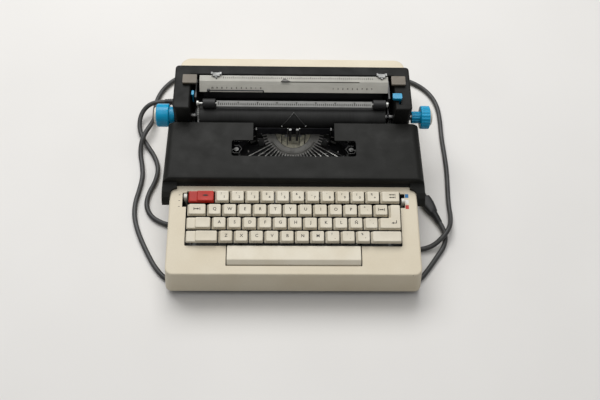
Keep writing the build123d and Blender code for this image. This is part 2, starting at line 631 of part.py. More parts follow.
def belt_outline(grow):
    """The outline that wraps the large pulley and the small one, grown outwards."""
    big = Circle(13.0 + grow)
    small = Pos(belt_span, 0) * Circle(6.0 + grow)
    lean = math.asin((13.0 - 6.0) / belt_span)
    big_r = 13.0 + grow
    small_r = 6.0 + grow
    upper_big = (big_r * math.sin(lean), big_r * math.cos(lean))
    upper_small = (belt_span + small_r * math.sin(lean), small_r * math.cos(lean))
    quad = make_face(Polyline(
        upper_big, upper_small, (upper_small[0], -upper_small[1]), (upper_big[0], -upper_big[1]), close=True
    ))
    return big + small + quad


belt_plane = Plane((BELT_X - 3.0, ROLLER_Y, ROLLER_Z), x_dir=(0, belt_dy, belt_dz), z_dir=(1, 0, 0))
belt = extrude(belt_plane * (belt_outline(2.2) - belt_outline(0.35)), amount=6.0)
save(belt, "drive_belt")

DRUM_X = 104.0
DRUM_Y = 136.0
DRUM_Z = 40.0
drum = rod_y(DRUM_Y - 7.0, DRUM_Y + 7.0, DRUM_X, DRUM_Z, 18.0)
drum -= rod_y(DRUM_Y - 5.0, DRUM_Y + 5.0, DRUM_X, DRUM_Z, 18.6) - rod_y(DRUM_Y - 5.0, DRUM_Y + 5.0, DRUM_X, DRUM_Z, 16.5)
drum -= rod_y(DRUM_Y - 9.0, DRUM_Y + 9.0, DRUM_X, DRUM_Z, 3.05)
save(drum, "spring_drum")
drum_stand = block(DRUM_X - 9.0, DRUM_X + 9.0, DRUM_Y + 8.0, DRUM_Y + 11.0, BASE_TOP, DRUM_Z + 6.0)
drum_stand += rod_y(DRUM_Y - 8.0, DRUM_Y + 8.5, DRUM_X, DRUM_Z, 3.0)
save(brackets + drum_stand, "inner_frame")

bell = Pos(30.0, 132.0, 34.0) * (Sphere(16.0) - Sphere(14.6))
bell = bell & Pos(30.0, 132.0, 44.0) * Box(40.0, 40.0, 20.0)
bell += rod_z(BASE_TOP, 49.4, 30.0, 132.0, 2.0)
save(bell, "margin_bell")

# Carriage: frame, moulded cover, paper table and paper pan, all sliding together
frame_outline = [
    (48.0, 74.0), (46.0, 90.0), (58.0, 92.0), (60.0, 112.0), (90.0, 112.0), (92.0, 74.0),
]
frame = Part()
for side in (-1, 1):
    near = CARRIAGE_X + side * PLATE_IN
    far = CARRIAGE_X + side * PLATE_OUT
    plate = profile_x(frame_outline, min(near, far), max(near, far))
    plate -= rod_x(min(near, far) - 1, max(near, far) + 1, PLATEN_Y, PLATEN_Z, 3.55)
    plate -= rod_x(min(near, far) - 1, max(near, far) + 1, BAIL_PIVOT_Y, BAIL_PIVOT_Z, 1.55)
    frame += plate
frame_half = PLATE_OUT
frame += profile_x([(71.3, 96.0), (71.9, 107.8), (73.4, 107.8), (73.0, 96.0)], -119.0, 117.0)
for pan_x in (-90.0, 0.0, 90.0):
    frame += block(pan_x - 2.0, pan_x + 2.0, 72.0, 90.6, 96.4, 99.4)
frame += block(CARRIAGE_X - frame_half, CARRIAGE_X + frame_half, 84.0, 92.0, 74.0, 76.0)
frame += block(CARRIAGE_X - frame_half, CARRIAGE_X + frame_half, 90.0, 92.8, 71.6, 104.0)
frame += block(CARRIAGE_X - frame_half, CARRIAGE_X + frame_half, 90.0, 97.6, 71.6, 75.0)
frame += block(CARRIAGE_X - frame_half, CARRIAGE_X + frame_half, 104.4, 106.4, 66.0, 75.0)
frame += block(CARRIAGE_X - frame_half, CARRIAGE_X + frame_half, 97.0, 106.4, 72.6, 75.0)
for side in (-1, 1):
    glide_x = CARRIAGE_X + side * 118.0
    frame += block(glide_x - 8.0, glide_x + 8.0, 75.0, 81.0, 66.4, 69.0)
    frame += block(glide_x - 8.0, glide_x + 8.0, 80.8, 86.0, 67.0, 76.0)
save(frame, "carriage_frame")


def carriage_form(inset):
    """The U-shaped carriage cover: two end blocks joined by a rear bar."""
    top = CARRIAGE_TOP - inset
    bottom = CARRIAGE_BOTTOM - inset
    outer = BLOCK_OUTER - inset
    inner = BLOCK_INNER + inset
    front = BLOCK_FRONT + inset
    rear = CARRIAGE_REAR - inset
    bar = BAR_FRONT + inset
    points = [
        (-outer, front), (-inner, front), (-inner, bar), (inner, bar),
        (inner, front), (outer, front), (outer, rear), (-outer, rear),
    ]
    outline = make_face(Polyline(*[(CARRIAGE_X + x, y) for x, y in points], close=True))
    form = extrude(Pos(0, 0, bottom) * outline, amount=top - bottom)
    if inset == 0.0:
        uprights = form.edges().filter_by(Axis.Z)
        corners = [edge for edge in uprights if abs(edge.center().X - CARRIAGE_X) > outer - 1.0]
        form = fillet(corners, 5.0)
        form = fillet(form.faces().sort_by(Axis.Z)[-1].outer_wire().edges(), 2.2)
    return form


RELEASE_CAPS = (-136.4, 137.2)
RELEASE_STALKS = (-142.0, 142.6)
carriage_cover = carriage_form(0.0) - carriage_form(CARRIAGE_WALL)
for side in (-1, 1):
    middle_x = CARRIAGE_X + side * (BLOCK_INNER + BLOCK_OUTER) / 2
    carriage_cover -= rod_x(middle_x - 14.0, middle_x + 14.0, PLATEN_Y, PLATEN_Z, 5.0)
for stalk_x in RELEASE_STALKS:
    carriage_cover -= block(stalk_x - 3.0, stalk_x + 3.0, 76.0, 89.0, 110.0, 125.0)
carriage_cover -= block(
    CARRIAGE_X - BLOCK_INNER, CARRIAGE_X + BLOCK_INNER, BAR_FRONT - 1.0, BAR_FRONT + 3.0, 60.0, 76.4
)
PAPER_LEVER_X = 138.0
SPACE_LEVER_X = -132.3
carriage_cover -= block(PAPER_LEVER_X - 2.0, PAPER_LEVER_X + 2.0, 46.0, 64.0, 110.0, 125.0)
save(carriage_cover, "carriage_cover")

TABLE_HALF = 123.7
TABLE_LINE = [(70.4, 110.0), (76.5, 117.6), (80.5, 120.0), (88.0, 121.4)]
table_under = [(71.6, 109.1), (77.4, 116.4), (81.2, 118.6), (88.3, 119.9)]
table = profile_x(TABLE_LINE + table_under[::-1], -TABLE_HALF, TABLE_HALF)
for side in (-1, 1):
    hanger_x = side * (TABLE_HALF - 3.0)
    table += block(hanger_x - 1.0, hanger_x + 1.0, 80.0, 86.0, 104.0, 119.0)
    table += block(hanger_x - 1.0, hanger_x + 1.0, 84.0, 90.0, 101.0, 104.2)
POINTER_SLOT = (-16.0, 86.0)
table -= block(POINTER_SLOT[0], POINTER_SLOT[1], 79.6, 80.8, 110.0, 130.0)
rail = block(-TABLE_HALF, TABLE_HALF, 88.9, 90.4, 112.6, 119.4)
for side in (-1, 1):
    rail += block(side * 121.0 - 1.5, side * 121.0 + 1.5, 88.9, 92.0, 104.0, 113.0)
    rail += block(side * 121.0 - 1.5, side * 121.0 + 1.5, 85.6, 89.0, 112.6, 115.0)
save(table + rail, "paper_table")


def margin_stop(x):
    """A sliding stop that straddles the margin rail, with a finger tab and a pointer."""
    stop = block(x - 4.5, x + 4.5, 86.4, 92.0, 121.9, 123.4)
    stop += block(x - 4.5, x + 4.5, 90.7, 92.0, 113.0, 122.2)
    for side in (-1, 1):
        ear_x = x + side * 5.6
        stop += block(ear_x - 1.2, ear_x + 1.2, 88.4, 92.0, 121.9, 124.6)
    tip = make_face(Polyline((x - 2.5, 86.6, 121.9), (x + 2.5, 86.6, 121.9), (x, 83.6, 121.9), close=True))
    return stop + extrude(tip, amount=0.8, dir=(0, 0, 1))


LEFT_STOP_X = -102.0
RIGHT_STOP_X = 115.5
save(margin_stop(LEFT_STOP_X), "margin_stop_left")
save(margin_stop(RIGHT_STOP_X), "margin_stop_right")

POINTER_X = -12.0
pointer_face = make_face(Polyline(
    (POINTER_X - 5.5, 79.0, 0), (POINTER_X + 7.0, 79.4, 0), (POINTER_X - 1.0, 84.6, 0), close=True
))
pointer = extrude(Pos(0, 0, 121.2) * pointer_face, amount=1.0)
pointer += block(POINTER_X - 2.0, POINTER_X + 2.0, 79.8, 80.6, 116.8, 121.4)
save(pointer, "paper_pointer")

SUPPORT_X = -112.0
support = rod_x(SUPPORT_X, -40.0, 70.2, 113.6, 0.8)
support += rod_y(68.8, 71.4, SUPPORT_X, 113.6, 1.8)
support += block(-41.0, -39.4, 69.5, 70.2, 110.7, 114.0)
save(support, "paper_support")

platen = rod_x(CARRIAGE_X - PLATEN_HALF, CARRIAGE_X + PLATEN_HALF, PLATEN_Y, PLATEN_Z, PLATEN_RADIUS)
platen -= rod_x(CARRIAGE_X - 130.0, CARRIAGE_X + 130.0, PLATEN_Y, PLATEN_Z, 12.0)
save(platen, "platen_roller")
KNOB_LEFT_END = -181.0
KNOB_RIGHT_END = 181.0
core = rod_x(CARRIAGE_X - PLATEN_HALF + 0.5, CARRIAGE_X + PLATEN_HALF - 0.5, PLATEN_Y, PLATEN_Z, 12.0)
core += rod_x(KNOB_LEFT_END + 2.0, KNOB_RIGHT_END - 2.0, PLATEN_Y, PLATEN_Z, 3.5)
ratchet_x = CARRIAGE_X - PLATEN_HALF - 2.6
ratchet = rod_x(ratchet_x, ratchet_x + 2.0, PLATEN_Y, PLATEN_Z, 13.0)
RATCHET_TEETH = 30
for tooth in range(RATCHET_TEETH):
    turn = 360.0 * tooth / RATCHET_TEETH
    notch = Pos(0, 0, 13.2) * Rot(35, 0, 0) * Box(6.0, 1.6, 1.6)
    ratchet -= Pos(ratchet_x + 1.0, PLATEN_Y, PLATEN_Z) * Rot(turn, 0, 0) * notch
save(core + ratchet, "platen_shaft")


def knob(x0, x1, collar_end, collar_radius, scallops=0):
    """A platen knob, plain or with shallow finger scallops, and a smaller collar towards the carriage."""
    body = rod_x(x0, x1, PLATEN_Y, PLATEN_Z, KNOB_RADIUS)
    body = fillet(body.edges().filter_by(GeomType.CIRCLE), 1.8)
    for scallop in range(scallops):
        turn = 2 * math.pi * scallop / scallops
        reach = KNOB_RADIUS + 2.1
        cut_y = PLATEN_Y + reach * math.cos(turn)
        cut_z = PLATEN_Z + reach * math.sin(turn)
        body -= rod_x(x0 - 1.0, x1 + 1.0, cut_y, cut_z, 2.6)
    low = min(x0 + 0.5, collar_end)
    high = max(x1 - 0.5, collar_end)
    body += rod_x(low, high, PLATEN_Y, PLATEN_Z, collar_radius)
    return body - rod_x(low - 40.0, high + 40.0, PLATEN_Y, PLATEN_Z, 3.5)


save(knob(-181.0, -164.2, -157.4, 11.7), "platen_knob_left")
ring = rod_x(157.2, 167.5, PLATEN_Y, PLATEN_Z, 8.0)
for flute in range(12):
    turn = 2 * math.pi * flute / 12
    cut_y = PLATEN_Y + 8.9 * math.cos(turn)
    cut_z = PLATEN_Z + 8.9 * math.sin(turn)
    ring -= rod_x(156.0, 169.0, cut_y, cut_z, 1.5)
ring -= rod_x(150.0, 170.0, PLATEN_Y, PLATEN_Z, 3.5)
save(Compound(children=[knob(168.6, 181.0, 167.6, 8.2, 20), ring]), "platen_knob_right")


def knob_cap(x0, x1):
    """A domed plug in the end of a knob."""
    face_x = x1 if x1 > 0 else x0
    plug = rod_x(x0, x1, PLATEN_Y, PLATEN_Z, 10.6)
    rim = plug.edges().filter_by(GeomType.CIRCLE).sort_by(Axis.X)
    outer_rim = rim[-1] if face_x > 0 else rim[0]
    return fillet([outer_rim], 1.8)


save(Compound(children=[knob_cap(-184.2, -181.0), knob_cap(181.0, 184.2)]), "knob_caps")

# Paper bail: scale bar, arms and two free rollers
LEFT_ROLLER = (-119.2, -102.4)
RIGHT_ROLLER = (103.8, 120.6)
bail_end = 123.4
rod = rod_x(CARRIAGE_X - bail_end, CARRIAGE_X + bail_end, BAIL_Y, BAIL_Z, 1.6)
scale_place = Pos(0.7, BAIL_Y, BAIL_Z) * Rot(35, 0, 0)
scale = scale_place * Pos(0, 0, 1.6) * Box(203.5, 7.4, 1.4) + scale_place * Box(202.0, 2.4, 2.8)
bail = rod + scale
for side in (-1, 1):
    near = CARRIAGE_X + side * 122.9
    far = CARRIAGE_X + side * 124.7
    low = min(near, far)
    high = max(near, far)
    reach_y = BAIL_PIVOT_Y - BAIL_Y
    reach_z = BAIL_Z - BAIL_PIVOT_Z
    length = math.hypot(reach_y, reach_z)
    lean = math.degrees(math.atan2(reach_y, reach_z))
    arm = Pos((low + high) / 2, (BAIL_Y + BAIL_PIVOT_Y) / 2, (BAIL_Z + BAIL_PIVOT_Z) / 2)
    arm = arm * Rot(lean, 0, 0) * Box(high - low, 5.0, length + 5.0)
    arm -= rod_x(-140.0, 140.0, PLATEN_Y, PLATEN_Z, 13.6)
    pin_end = CARRIAGE_X + side * (PLATE_OUT + 0.6)
    arm += rod_x(min(near, pin_end), max(near, pin_end), BAIL_PIVOT_Y, BAIL_PIVOT_Z, 1.5)
    head_end = CARRIAGE_X + side * (PLATE_IN - 0.4)
    arm += rod_x(min(near, head_end), max(near, head_end), BAIL_Y, BAIL_Z, 3.8)
    bail += arm
save(bail, "paper_bail")
for (x0, x1), roller_name in ((LEFT_ROLLER, "bail_roller_left"), (RIGHT_ROLLER, "bail_roller_right")):
    tube = rod_x(x0, x1, BAIL_Y, BAIL_Z, BAIL_ROLLER_RADIUS)
    tube = fillet(tube.edges().filter_by(GeomType.CIRCLE), 0.8)
    save(tube - rod_x(x0 - 1, x1 + 1, BAIL_Y, BAIL_Z, 1.65), roller_name)

# Carriage levers
release_z = CARRIAGE_TOP + 1.2
RELEASE_NAMES = ("carriage_release_left", "carriage_release_right")
for middle_x, stalk_x, release_name in zip(RELEASE_CAPS, RELEASE_STALKS, RELEASE_NAMES):
    cap_form = block(middle_x - 9.2, middle_x + 9.2, 75.6, 89.4, release_z, release_z + 3.2)
    cap_form = fillet(cap_form.edges().filter_by(Axis.Z), 1.2)
    stalk = block(stalk_x - 2.0, stalk_x + 2.0, 80.0, 85.0, 96.0, release_z + 0.5)
    save(cap_form + stalk, release_name)
LEVER_LOW_Z = 97.0
paper_lever = block(PAPER_LEVER_X - 10.0, PAPER_LEVER_X + 2.0, 51.6, 60.0, 119.6, 123.6)
paper_lever = fillet(paper_lever.edges().filter_by(Axis.Z), 1.5)
paper_lever += block(PAPER_LEVER_X - 1.0, PAPER_LEVER_X + 1.0, 53.0, 59.0, LEVER_LOW_Z, 120.0)
save(paper_lever, "paper_release_lever")
line_lever = block(SPACE_LEVER_X - 1.6, SPACE_LEVER_X + 1.6, 62.6, 69.6, 109.6, 114.0)
line_lever = fillet(line_lever.edges().filter_by(Axis.Z), 1.2)
line_lever += block(SPACE_LEVER_X - 0.8, SPACE_LEVER_X + 0.8, 63.6, 68.6, LEVER_LOW_Z, 110.0)
save(line_lever, "line_space_lever")

# Panel levers beside the keyboard
PANEL_PIVOT_Z = 42.0
for lever_x, paddle_y, lever_name in (
    (LEFT_LEVER_X, -66.0, "impression_lever"), (RIGHT_LEVER_X, -70.5, "ribbon_colour_lever")
):
    top_z = deck_z(paddle_y) + 5.4
    paddle = block(lever_x - 2.0, lever_x + 2.0, paddle_y - 3.6, paddle_y + 3.6, top_z - 9.0, top_z)
    paddle = fillet(paddle.edges().filter_by(Axis.X).sort_by(Axis.Z)[-2:], 2.6)
    paddle += block(lever_x - 0.9, lever_x + 0.9, paddle_y - 3.0, paddle_y + 3.0, PANEL_PIVOT_Z - 4.0, top_z - 8.0)
    save(paddle, lever_name)

# Mains lead with its strain relief and plug
relief = Pos((-163.6 + RELIEF_END_X) / 2, GLAND_Y, GLAND_Z) * Rot(0, -90, 0) * Cone(
    5.4, 4.0, -163.6 - RELIEF_END_X
)
relief += rod_x(-164.8, -162.6, GLAND_Y, GLAND_Z, 7.6)
relief += rod_x(-163.0, -154.0, GLAND_Y, GLAND_Z, 6.0)
for groove in range(5):
    groove_x = -168.0 - 2.8 * groove
    cut = rod_x(groove_x - 0.6, groove_x + 0.6, GLAND_Y, GLAND_Z, 9.0)
    relief -= cut - rod_x(groove_x - 0.6, groove_x + 0.6, GLAND_Y, GLAND_Z, 3.7)
save(relief, "cord_strain_relief")

# Points of the lead's route, from the strain relief to the plug
CORD_ROUTE = [
    (-183.0, 123.0, 19.2), (-194.5, 123.0, 19.2), (-206.0, 119.0, 17.2), (-214.6, 110.6, 12.8),
    (-218.4, 98.8, 8.6), (-217.8, 85.4, 5.2), (-212.6, 70.6, 3.6), (-202.6, 54.6, 3.6),
    (-192.0, 38.0, 3.6), (-185.6, 18.0, 3.6),
    (-188.5, -3.0, 3.6), (-196.0, -21.0, 3.6), (-198.5, -40.0, 3.6), (-191.0, -57.0, 3.6),
    (-175.0, -68.0, 3.6), (-150.0, -74.5, 3.6), (-111.0, -78.5, 3.6), (-52.0, -89.0, 3.6),
    (14.0, -95.0, 3.6), (78.0, -97.0, 3.6), (128.0, -102.5, 3.6), (164.0, -107.0, 3.6),
    (184.0, -103.0, 6.5), (198.0, -92.5, 13.8), (208.5, -78.0, 13.8), (213.0, -58.0, 6.5),
    (212.5, -36.0, 3.6), (214.0, -10.0, 3.6), (215.5, 18.0, 3.6), (215.0, 46.0, 3.6),
    (213.5, 76.0, 3.6), (214.5, 106.0, 3.6), (213.0, 131.0, 3.6), (205.0, 152.0, 3.6),
    (190.0, 169.0, 3.6), (168.0, 181.0, 3.6), (138.0, 188.0, 3.6), (94.0, 190.0, 3.6),
    (46.0, 186.5, 3.6), (-8.0, 184.0, 3.6), (-62.0, 187.5, 3.6), (-108.0, 191.0, 3.6),
    (-144.0, 189.5, 3.6), (-172.0, 179.5, 3.6), (-189.0, 160.5, 3.6), (-198.0, 138.0, 3.6),
    (-198.6, 118.0, 3.8), (-197.5, 101.0, 7.6), (-201.0, 86.0, 13.8), (-208.0, 72.0, 13.8),
    (-212.8, 57.0, 9.0), (-213.0, 42.0, 4.0), (-209.0, 25.0, 3.6), (-206.4, 6.0, 3.6),
    (-209.0, -15.0, 3.6), (-213.5, -38.0, 3.6), (-212.0, -61.0, 3.6), (-204.0, -85.0, 3.6),
    (-192.0, -110.0, 3.6), (-179.5, -133.0, 3.6), (-163.0, -151.5, 3.6), (-138.0, -160.0, 3.6),
    (-100.0, -158.5, 3.6), (-52.0, -161.5, 3.6), (0.0, -158.0, 3.6), (52.0, -161.0, 3.6),
    (100.0, -158.0, 3.6), (138.0, -160.0, 3.6), (162.0, -152.5, 3.6), (176.0, -135.5, 3.6),
    (189.0, -117.0, 3.6), (199.2, -103.0, 4.4), (203.2, -90.0, 6.0), (201.65, -75.97, 6.0),
    (197.0, -66.0, 6.0),
]


def corner_radius(before, corner, after):
    """The largest arc that both runs allow, and the turn it makes in degrees."""
    first = Vector(*corner) - Vector(*before)
    second = Vector(*after) - Vector(*corner)
    turn = first.get_angle(second)
    reach = 0.45 * min(first.length, second.length)
    return reach / math.tan(math.radians(turn / 2)), turn


cord_radii = []
cord_turns = []
for before, corner, after in zip(CORD_ROUTE, CORD_ROUTE[1:], CORD_ROUTE[2:]):
    radius, turn = corner_radius(before, corner, after)
    cord_radii.append(radius)
    cord_turns.append(turn)
cord_path = FilletPolyline(*CORD_ROUTE, radius=cord_radii)
cord_start = Plane(origin=cord_path @ 0.0, z_dir=cord_path % 0.0)
cord = sweep(cord_start * Circle(CORD_DIAMETER / 2), path=cord_path)
save(cord, "mains_cord")
runs = [(Vector(*b) - Vector(*a)).length for a, b in zip(CORD_ROUTE, CORD_ROUTE[1:])]
section = math.pi * (CORD_DIAMETER / 2) ** 2
print("cord length", round(cord_path.length, 1), "volume share", round(cord.volume / section / cord_path.length, 4))
print("cord radii", [round(radius, 1) for radius in cord_radii])
print("cord turns", [round(turn) for turn in cord_turns], "longest run", round(max(runs), 1))

# Two-pin plug lying on its flat side, pointing back along the right-hand side of the machine
PLUG_ANCHOR = (197.0, -66.0, 6.0)
PLUG_HEADING = 115.0
PLUG_RELIEF = 16.0
PLUG_LENGTH = 26.0
plug_relief = Pos(PLUG_RELIEF / 2, 0, 0) * Rot(0, 90, 0) * Cone(4.0, 5.2, PLUG_RELIEF)
plug_back = Plane((PLUG_RELIEF - 0.2, 0, 0), z_dir=(1, 0, 0)) * RectangleRounded(10.4, 12.0, 2.4)
plug_waist = Plane((PLUG_RELIEF + 14.0, 0, 0), z_dir=(1, 0, 0)) * RectangleRounded(11.4, 16.5, 2.4)
plug_front = Plane((PLUG_RELIEF + PLUG_LENGTH, 0, 0), z_dir=(1, 0, 0)) * RectangleRounded(11.4, 15.0, 2.4)
plug_form = loft([plug_back, plug_waist, plug_front], ruled=True) + plug_relief
pins = []
for side in (-1, 1):
    pin = Pos(PLUG_RELIEF + PLUG_LENGTH + 8.5, side * 4.0, 0) * Rot(0, 90, 0) * Cylinder(1.9, 17.0)
    pins.append(pin)
plug_place = Pos(*PLUG_ANCHOR) * Rot(0, 0, PLUG_HEADING)
save(Compound(children=[plug_place * plug_form] + [plug_place * pin for pin in pins]), "mains_plug")
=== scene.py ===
# %% Load the machine's parts
import math
import bpy
import numpy as np
from mathutils import Matrix, Vector


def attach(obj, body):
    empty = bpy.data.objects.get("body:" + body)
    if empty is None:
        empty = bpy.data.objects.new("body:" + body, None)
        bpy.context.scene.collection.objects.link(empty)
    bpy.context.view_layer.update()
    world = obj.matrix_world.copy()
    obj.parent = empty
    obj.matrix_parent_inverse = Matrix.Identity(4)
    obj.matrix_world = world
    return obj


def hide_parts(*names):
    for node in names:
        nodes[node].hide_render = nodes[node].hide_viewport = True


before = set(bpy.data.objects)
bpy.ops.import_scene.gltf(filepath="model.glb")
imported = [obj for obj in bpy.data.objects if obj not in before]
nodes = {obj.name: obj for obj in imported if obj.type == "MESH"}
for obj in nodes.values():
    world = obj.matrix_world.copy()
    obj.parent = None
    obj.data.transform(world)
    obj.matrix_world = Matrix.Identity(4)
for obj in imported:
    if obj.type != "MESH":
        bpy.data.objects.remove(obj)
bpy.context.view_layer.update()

MM = 0.001

# %% [markdown]
# ## An electric portable typewriter
# The engineering parts come in ready made: shell, cover, carriage, basket of typebars. This lesson gives
# them their finishes, and builds what is too fine or too soft for the engineering model: keycaps with
# dished tops and letters, printed scales, the mains lead and its plug. Every new piece sits where the
# engineering part is.

# %% [markdown]
# ## Where the viewer stands
# The machine is seen from above and a little in front, as it lies on a table. A normal 50 mm lens from a
# little over a metre away gives this calm perspective. The camera is written as a place and three angles,
# so that each can be read and changed alone: how far it looks down, how far it turns aside, and how far it
# leans.

# %% Camera
CAMERA_PLACE = Vector((-0.0215, -0.6145, 0.977))
LOOK_DOWN = math.radians(59.0)
TURN_ASIDE = math.radians(3.067)
LEAN = math.radians(-2.946)


def camera_turn(down, aside, lean):
    """The camera's axes as a matrix: right, up and backwards, from its three angles."""
    forward = Vector((math.sin(aside) * math.cos(down), math.cos(aside) * math.cos(down), -math.sin(down)))
    right = Vector((math.cos(aside), -math.sin(aside), 0.0))
    below = forward.cross(right)
    leaned_right = right * math.cos(lean) + below * math.sin(lean)
    leaned_below = below * math.cos(lean) - right * math.sin(lean)
    return Matrix((leaned_right, -leaned_below, -forward)).transposed()


lens = bpy.data.cameras.new("viewpoint")
lens.lens = 50.0
lens.sensor_width = 36.0
lens.clip_start = 0.05
viewpoint = bpy.data.objects.new("viewpoint", lens)
viewpoint.location = CAMERA_PLACE
viewpoint.rotation_euler = camera_turn(LOOK_DOWN, TURN_ASIDE, LEAN).to_euler()
bpy.context.scene.collection.objects.link(viewpoint)
bpy.context.scene.camera = viewpoint
print("camera height in mm:", round(CAMERA_PLACE.z / MM))

# %% [markdown]
# ## Light
# The real light is daylight from large windows behind and above: tops are bright, fronts are dim, and
# shadows are wide and soft. A big area lamp above the rear does that, with a weak one overhead and a grey
# sky that fills the shadows. Standard view keeps plain colours plain, so a finish can be judged by its own
# numbers.

# %% Lamps and sky
scene = bpy.context.scene
scene.view_settings.view_transform = "Standard"


def area_lamp(name, place, aim, width, depth, watts):
    """A rectangular lamp at one point that faces another."""
    data = bpy.data.lights.new(name, "AREA")
    data.shape = "RECTANGLE"
    data.size = width
    data.size_y = depth
    data.energy = watts
    lamp = bpy.data.objects.new(name, data)
    lamp.location = place
    lamp.rotation_euler = (Vector(aim) - Vector(place)).to_track_quat("-Z", "Y").to_euler()
    scene.collection.objects.link(lamp)


area_lamp("window_behind", (-0.5, 1.5, 2.2), (0.0, 0.0, 0.0), 2.6, 1.4, 70.0)
area_lamp("ceiling", (0.2, 0.1, 2.6), (0.0, 0.0, 0.0), 2.4, 2.4, 26.0)
sky = bpy.data.worlds.new("soft_room")
sky.use_nodes = True
sky.node_tree.nodes["Background"].inputs["Color"].default_value = (0.97, 0.98, 1.0, 1.0)
sky.node_tree.nodes["Background"].inputs["Strength"].default_value = 0.24
scene.world = sky

# %% [markdown]
# ## How a finish is made
# A finish is a few layers of noise on one shader: a slow one for age and handling, a fast one for grain,
# and a bump from the grain. Noise reads the object's own coordinates in metres, so a grain of 0.4 mm is the
# same size on every part and moves with it. The helpers below name those layers, so that each finish is
# only a few lines.

# %% Finish helpers
def new_finish(name, colour, roughness, metallic=0.0, coat=0.0, shine=0.3):
    """A material with a plain shader, ready for its layers."""
    material = bpy.data.materials.new(name)
    material.use_nodes = True
    shader = material.node_tree.nodes["Principled BSDF"]
    shader.inputs["Base Color"].default_value = (*colour, 1.0)
    shader.inputs["Roughness"].default_value = roughness
    shader.inputs["Metallic"].default_value = metallic
    shader.inputs["Coat Weight"].default_value = coat
    shader.inputs["Specular IOR Level"].default_value = shine
    material.diffuse_color = (*colour, 1.0)
    return material, material.node_tree, shader


def place_on(tree, centre=(0.0, 0.0, 0.0), turn=(0.0, 0.0, 0.0), stretch=(1.0, 1.0, 1.0)):
    """Object coordinates seen from a centre, turned and stretched about it."""
    coordinates = tree.nodes.new("ShaderNodeTexCoord")
    mapping = tree.nodes.new("ShaderNodeMapping")
    mapping.vector_type = "TEXTURE"
    mapping.inputs["Location"].default_value = centre
    mapping.inputs["Rotation"].default_value = turn
    mapping.inputs["Scale"].default_value = stretch
    tree.links.new(coordinates.outputs["Object"], mapping.inputs["Vector"])
    return mapping.outputs["Vector"]


def noise(tree, size, detail=3.0, where=None):
    """Noise whose blotches are about this many metres across."""
    texture = tree.nodes.new("ShaderNodeTexNoise")
    texture.inputs["Scale"].default_value = 1.0 / size
    texture.inputs["Detail"].default_value = detail
    tree.links.new(where or place_on(tree), texture.inputs["Vector"])
    return texture.outputs[0]


def spread(tree, value, low, high, to_low=0.0, to_high=1.0):
    """Stretch the part of a value between two levels to a new range."""
    ranger = tree.nodes.new("ShaderNodeMapRange")
    for name, level in (("From Min", low), ("From Max", high), ("To Min", to_low), ("To Max", to_high)):
        ranger.inputs[name].default_value = level
    tree.links.new(value, ranger.inputs["Value"])
    return ranger.outputs["Result"]


def mix_colour(tree, share, first, second):
    """Two colours, or a colour input already made and a colour, mixed by a share."""
    mixer = tree.nodes.new("ShaderNodeMix")
    mixer.data_type = "RGBA"
    tree.links.new(share, mixer.inputs[0])
    for socket, colour in ((mixer.inputs[6], first), (mixer.inputs[7], second)):
        if isinstance(colour, bpy.types.NodeSocket):
            tree.links.new(colour, socket)
        else:
            socket.default_value = (*colour, 1.0)
    return mixer.outputs[2]


def math_node(tree, operation, first, second=None):
    """One sum on one or two values."""
    worker = tree.nodes.new("ShaderNodeMath")
    worker.operation = operation
    for socket, value in zip(worker.inputs, (first, second)):
        if isinstance(value, bpy.types.NodeSocket):
            tree.links.new(value, socket)
        elif value is not None:
            socket.default_value = value
    return worker.outputs[0]


def add_bump(tree, shader, height, depth, strength=1.0):
    """Relief of this depth in metres from a height between 0 and 1, over any relief already there."""
    bump = tree.nodes.new("ShaderNodeBump")
    bump.inputs["Strength"].default_value = strength
    bump.inputs["Distance"].default_value = depth
    tree.links.new(height, bump.inputs["Height"])
    for link in list(shader.inputs["Normal"].links):
        tree.links.new(link.from_socket, bump.inputs["Normal"])
    tree.links.new(bump.outputs["Normal"], shader.inputs["Normal"])


def darker(colour, share):
    """A colour brought this share of the way to black."""
    return tuple(channel * (1.0 - share) for channel in colour)


def show(name, material):
    """Give one engineering part its finish."""
    slots = nodes[name].data.materials
    slots.clear()
    slots.append(material)


# %% [markdown]
# ## Moulded plastic
# The shell, cover and keys are injection moulded. Such plastic has a fine spark-eroded grain, ages to a
# warmer tone in slow patches, and is uneven in gloss. One function gives all of them, with the colour, the
# aged colour, the gloss and the depth of the grain as its settings.

# %% Moulded plastic
GRAIN = 0.0004


def moulded(name, colour, aged, roughness, grain_depth=0.00003, age_size=0.07, shine=0.3):
    """Two tones in slow patches, a faint speckle, uneven gloss and a fine grain."""
    material, tree, shader = new_finish(name, colour, roughness, shine=shine)
    patches = spread(tree, noise(tree, age_size, 5.0), 0.35, 0.72)
    toned = mix_colour(tree, patches, colour, aged)
    speckle = spread(tree, noise(tree, GRAIN * 2.2, 2.0), 0.38, 0.75, 0.0, 0.16)
    toned = mix_colour(tree, speckle, toned, darker(aged, 0.35))
    tree.links.new(toned, shader.inputs["Base Color"])
    gloss = spread(tree, noise(tree, age_size * 0.35, 6.0), 0.3, 0.7, roughness - 0.07, roughness + 0.07)
    tree.links.new(gloss, shader.inputs["Roughness"])
    add_bump(tree, shader, noise(tree, GRAIN, 2.0), grain_depth, 0.6)
    return material, tree, shader


def dark_point(tree, shader, centre, radius, colour):
    """A small ragged nick: the colour within a radius of a point, with its edge broken up by noise."""
    here = place_on(tree, centre)
    reach = tree.nodes.new("ShaderNodeVectorMath")
    reach.operation = "LENGTH"
    tree.links.new(here, reach.inputs[0])
    ragged = spread(tree, noise(tree, radius * 0.7, 3.0), 0.3, 0.7, -0.5 * radius, 0.5 * radius)
    edge = math_node(tree, "ADD", reach.outputs["Value"], ragged)
    inside = spread(tree, edge, 0.6 * radius, radius, 1.0, 0.0)
    before = shader.inputs["Base Color"].links[0].from_socket
    tree.links.new(mix_colour(tree, inside, before, colour), shader.inputs["Base Color"])


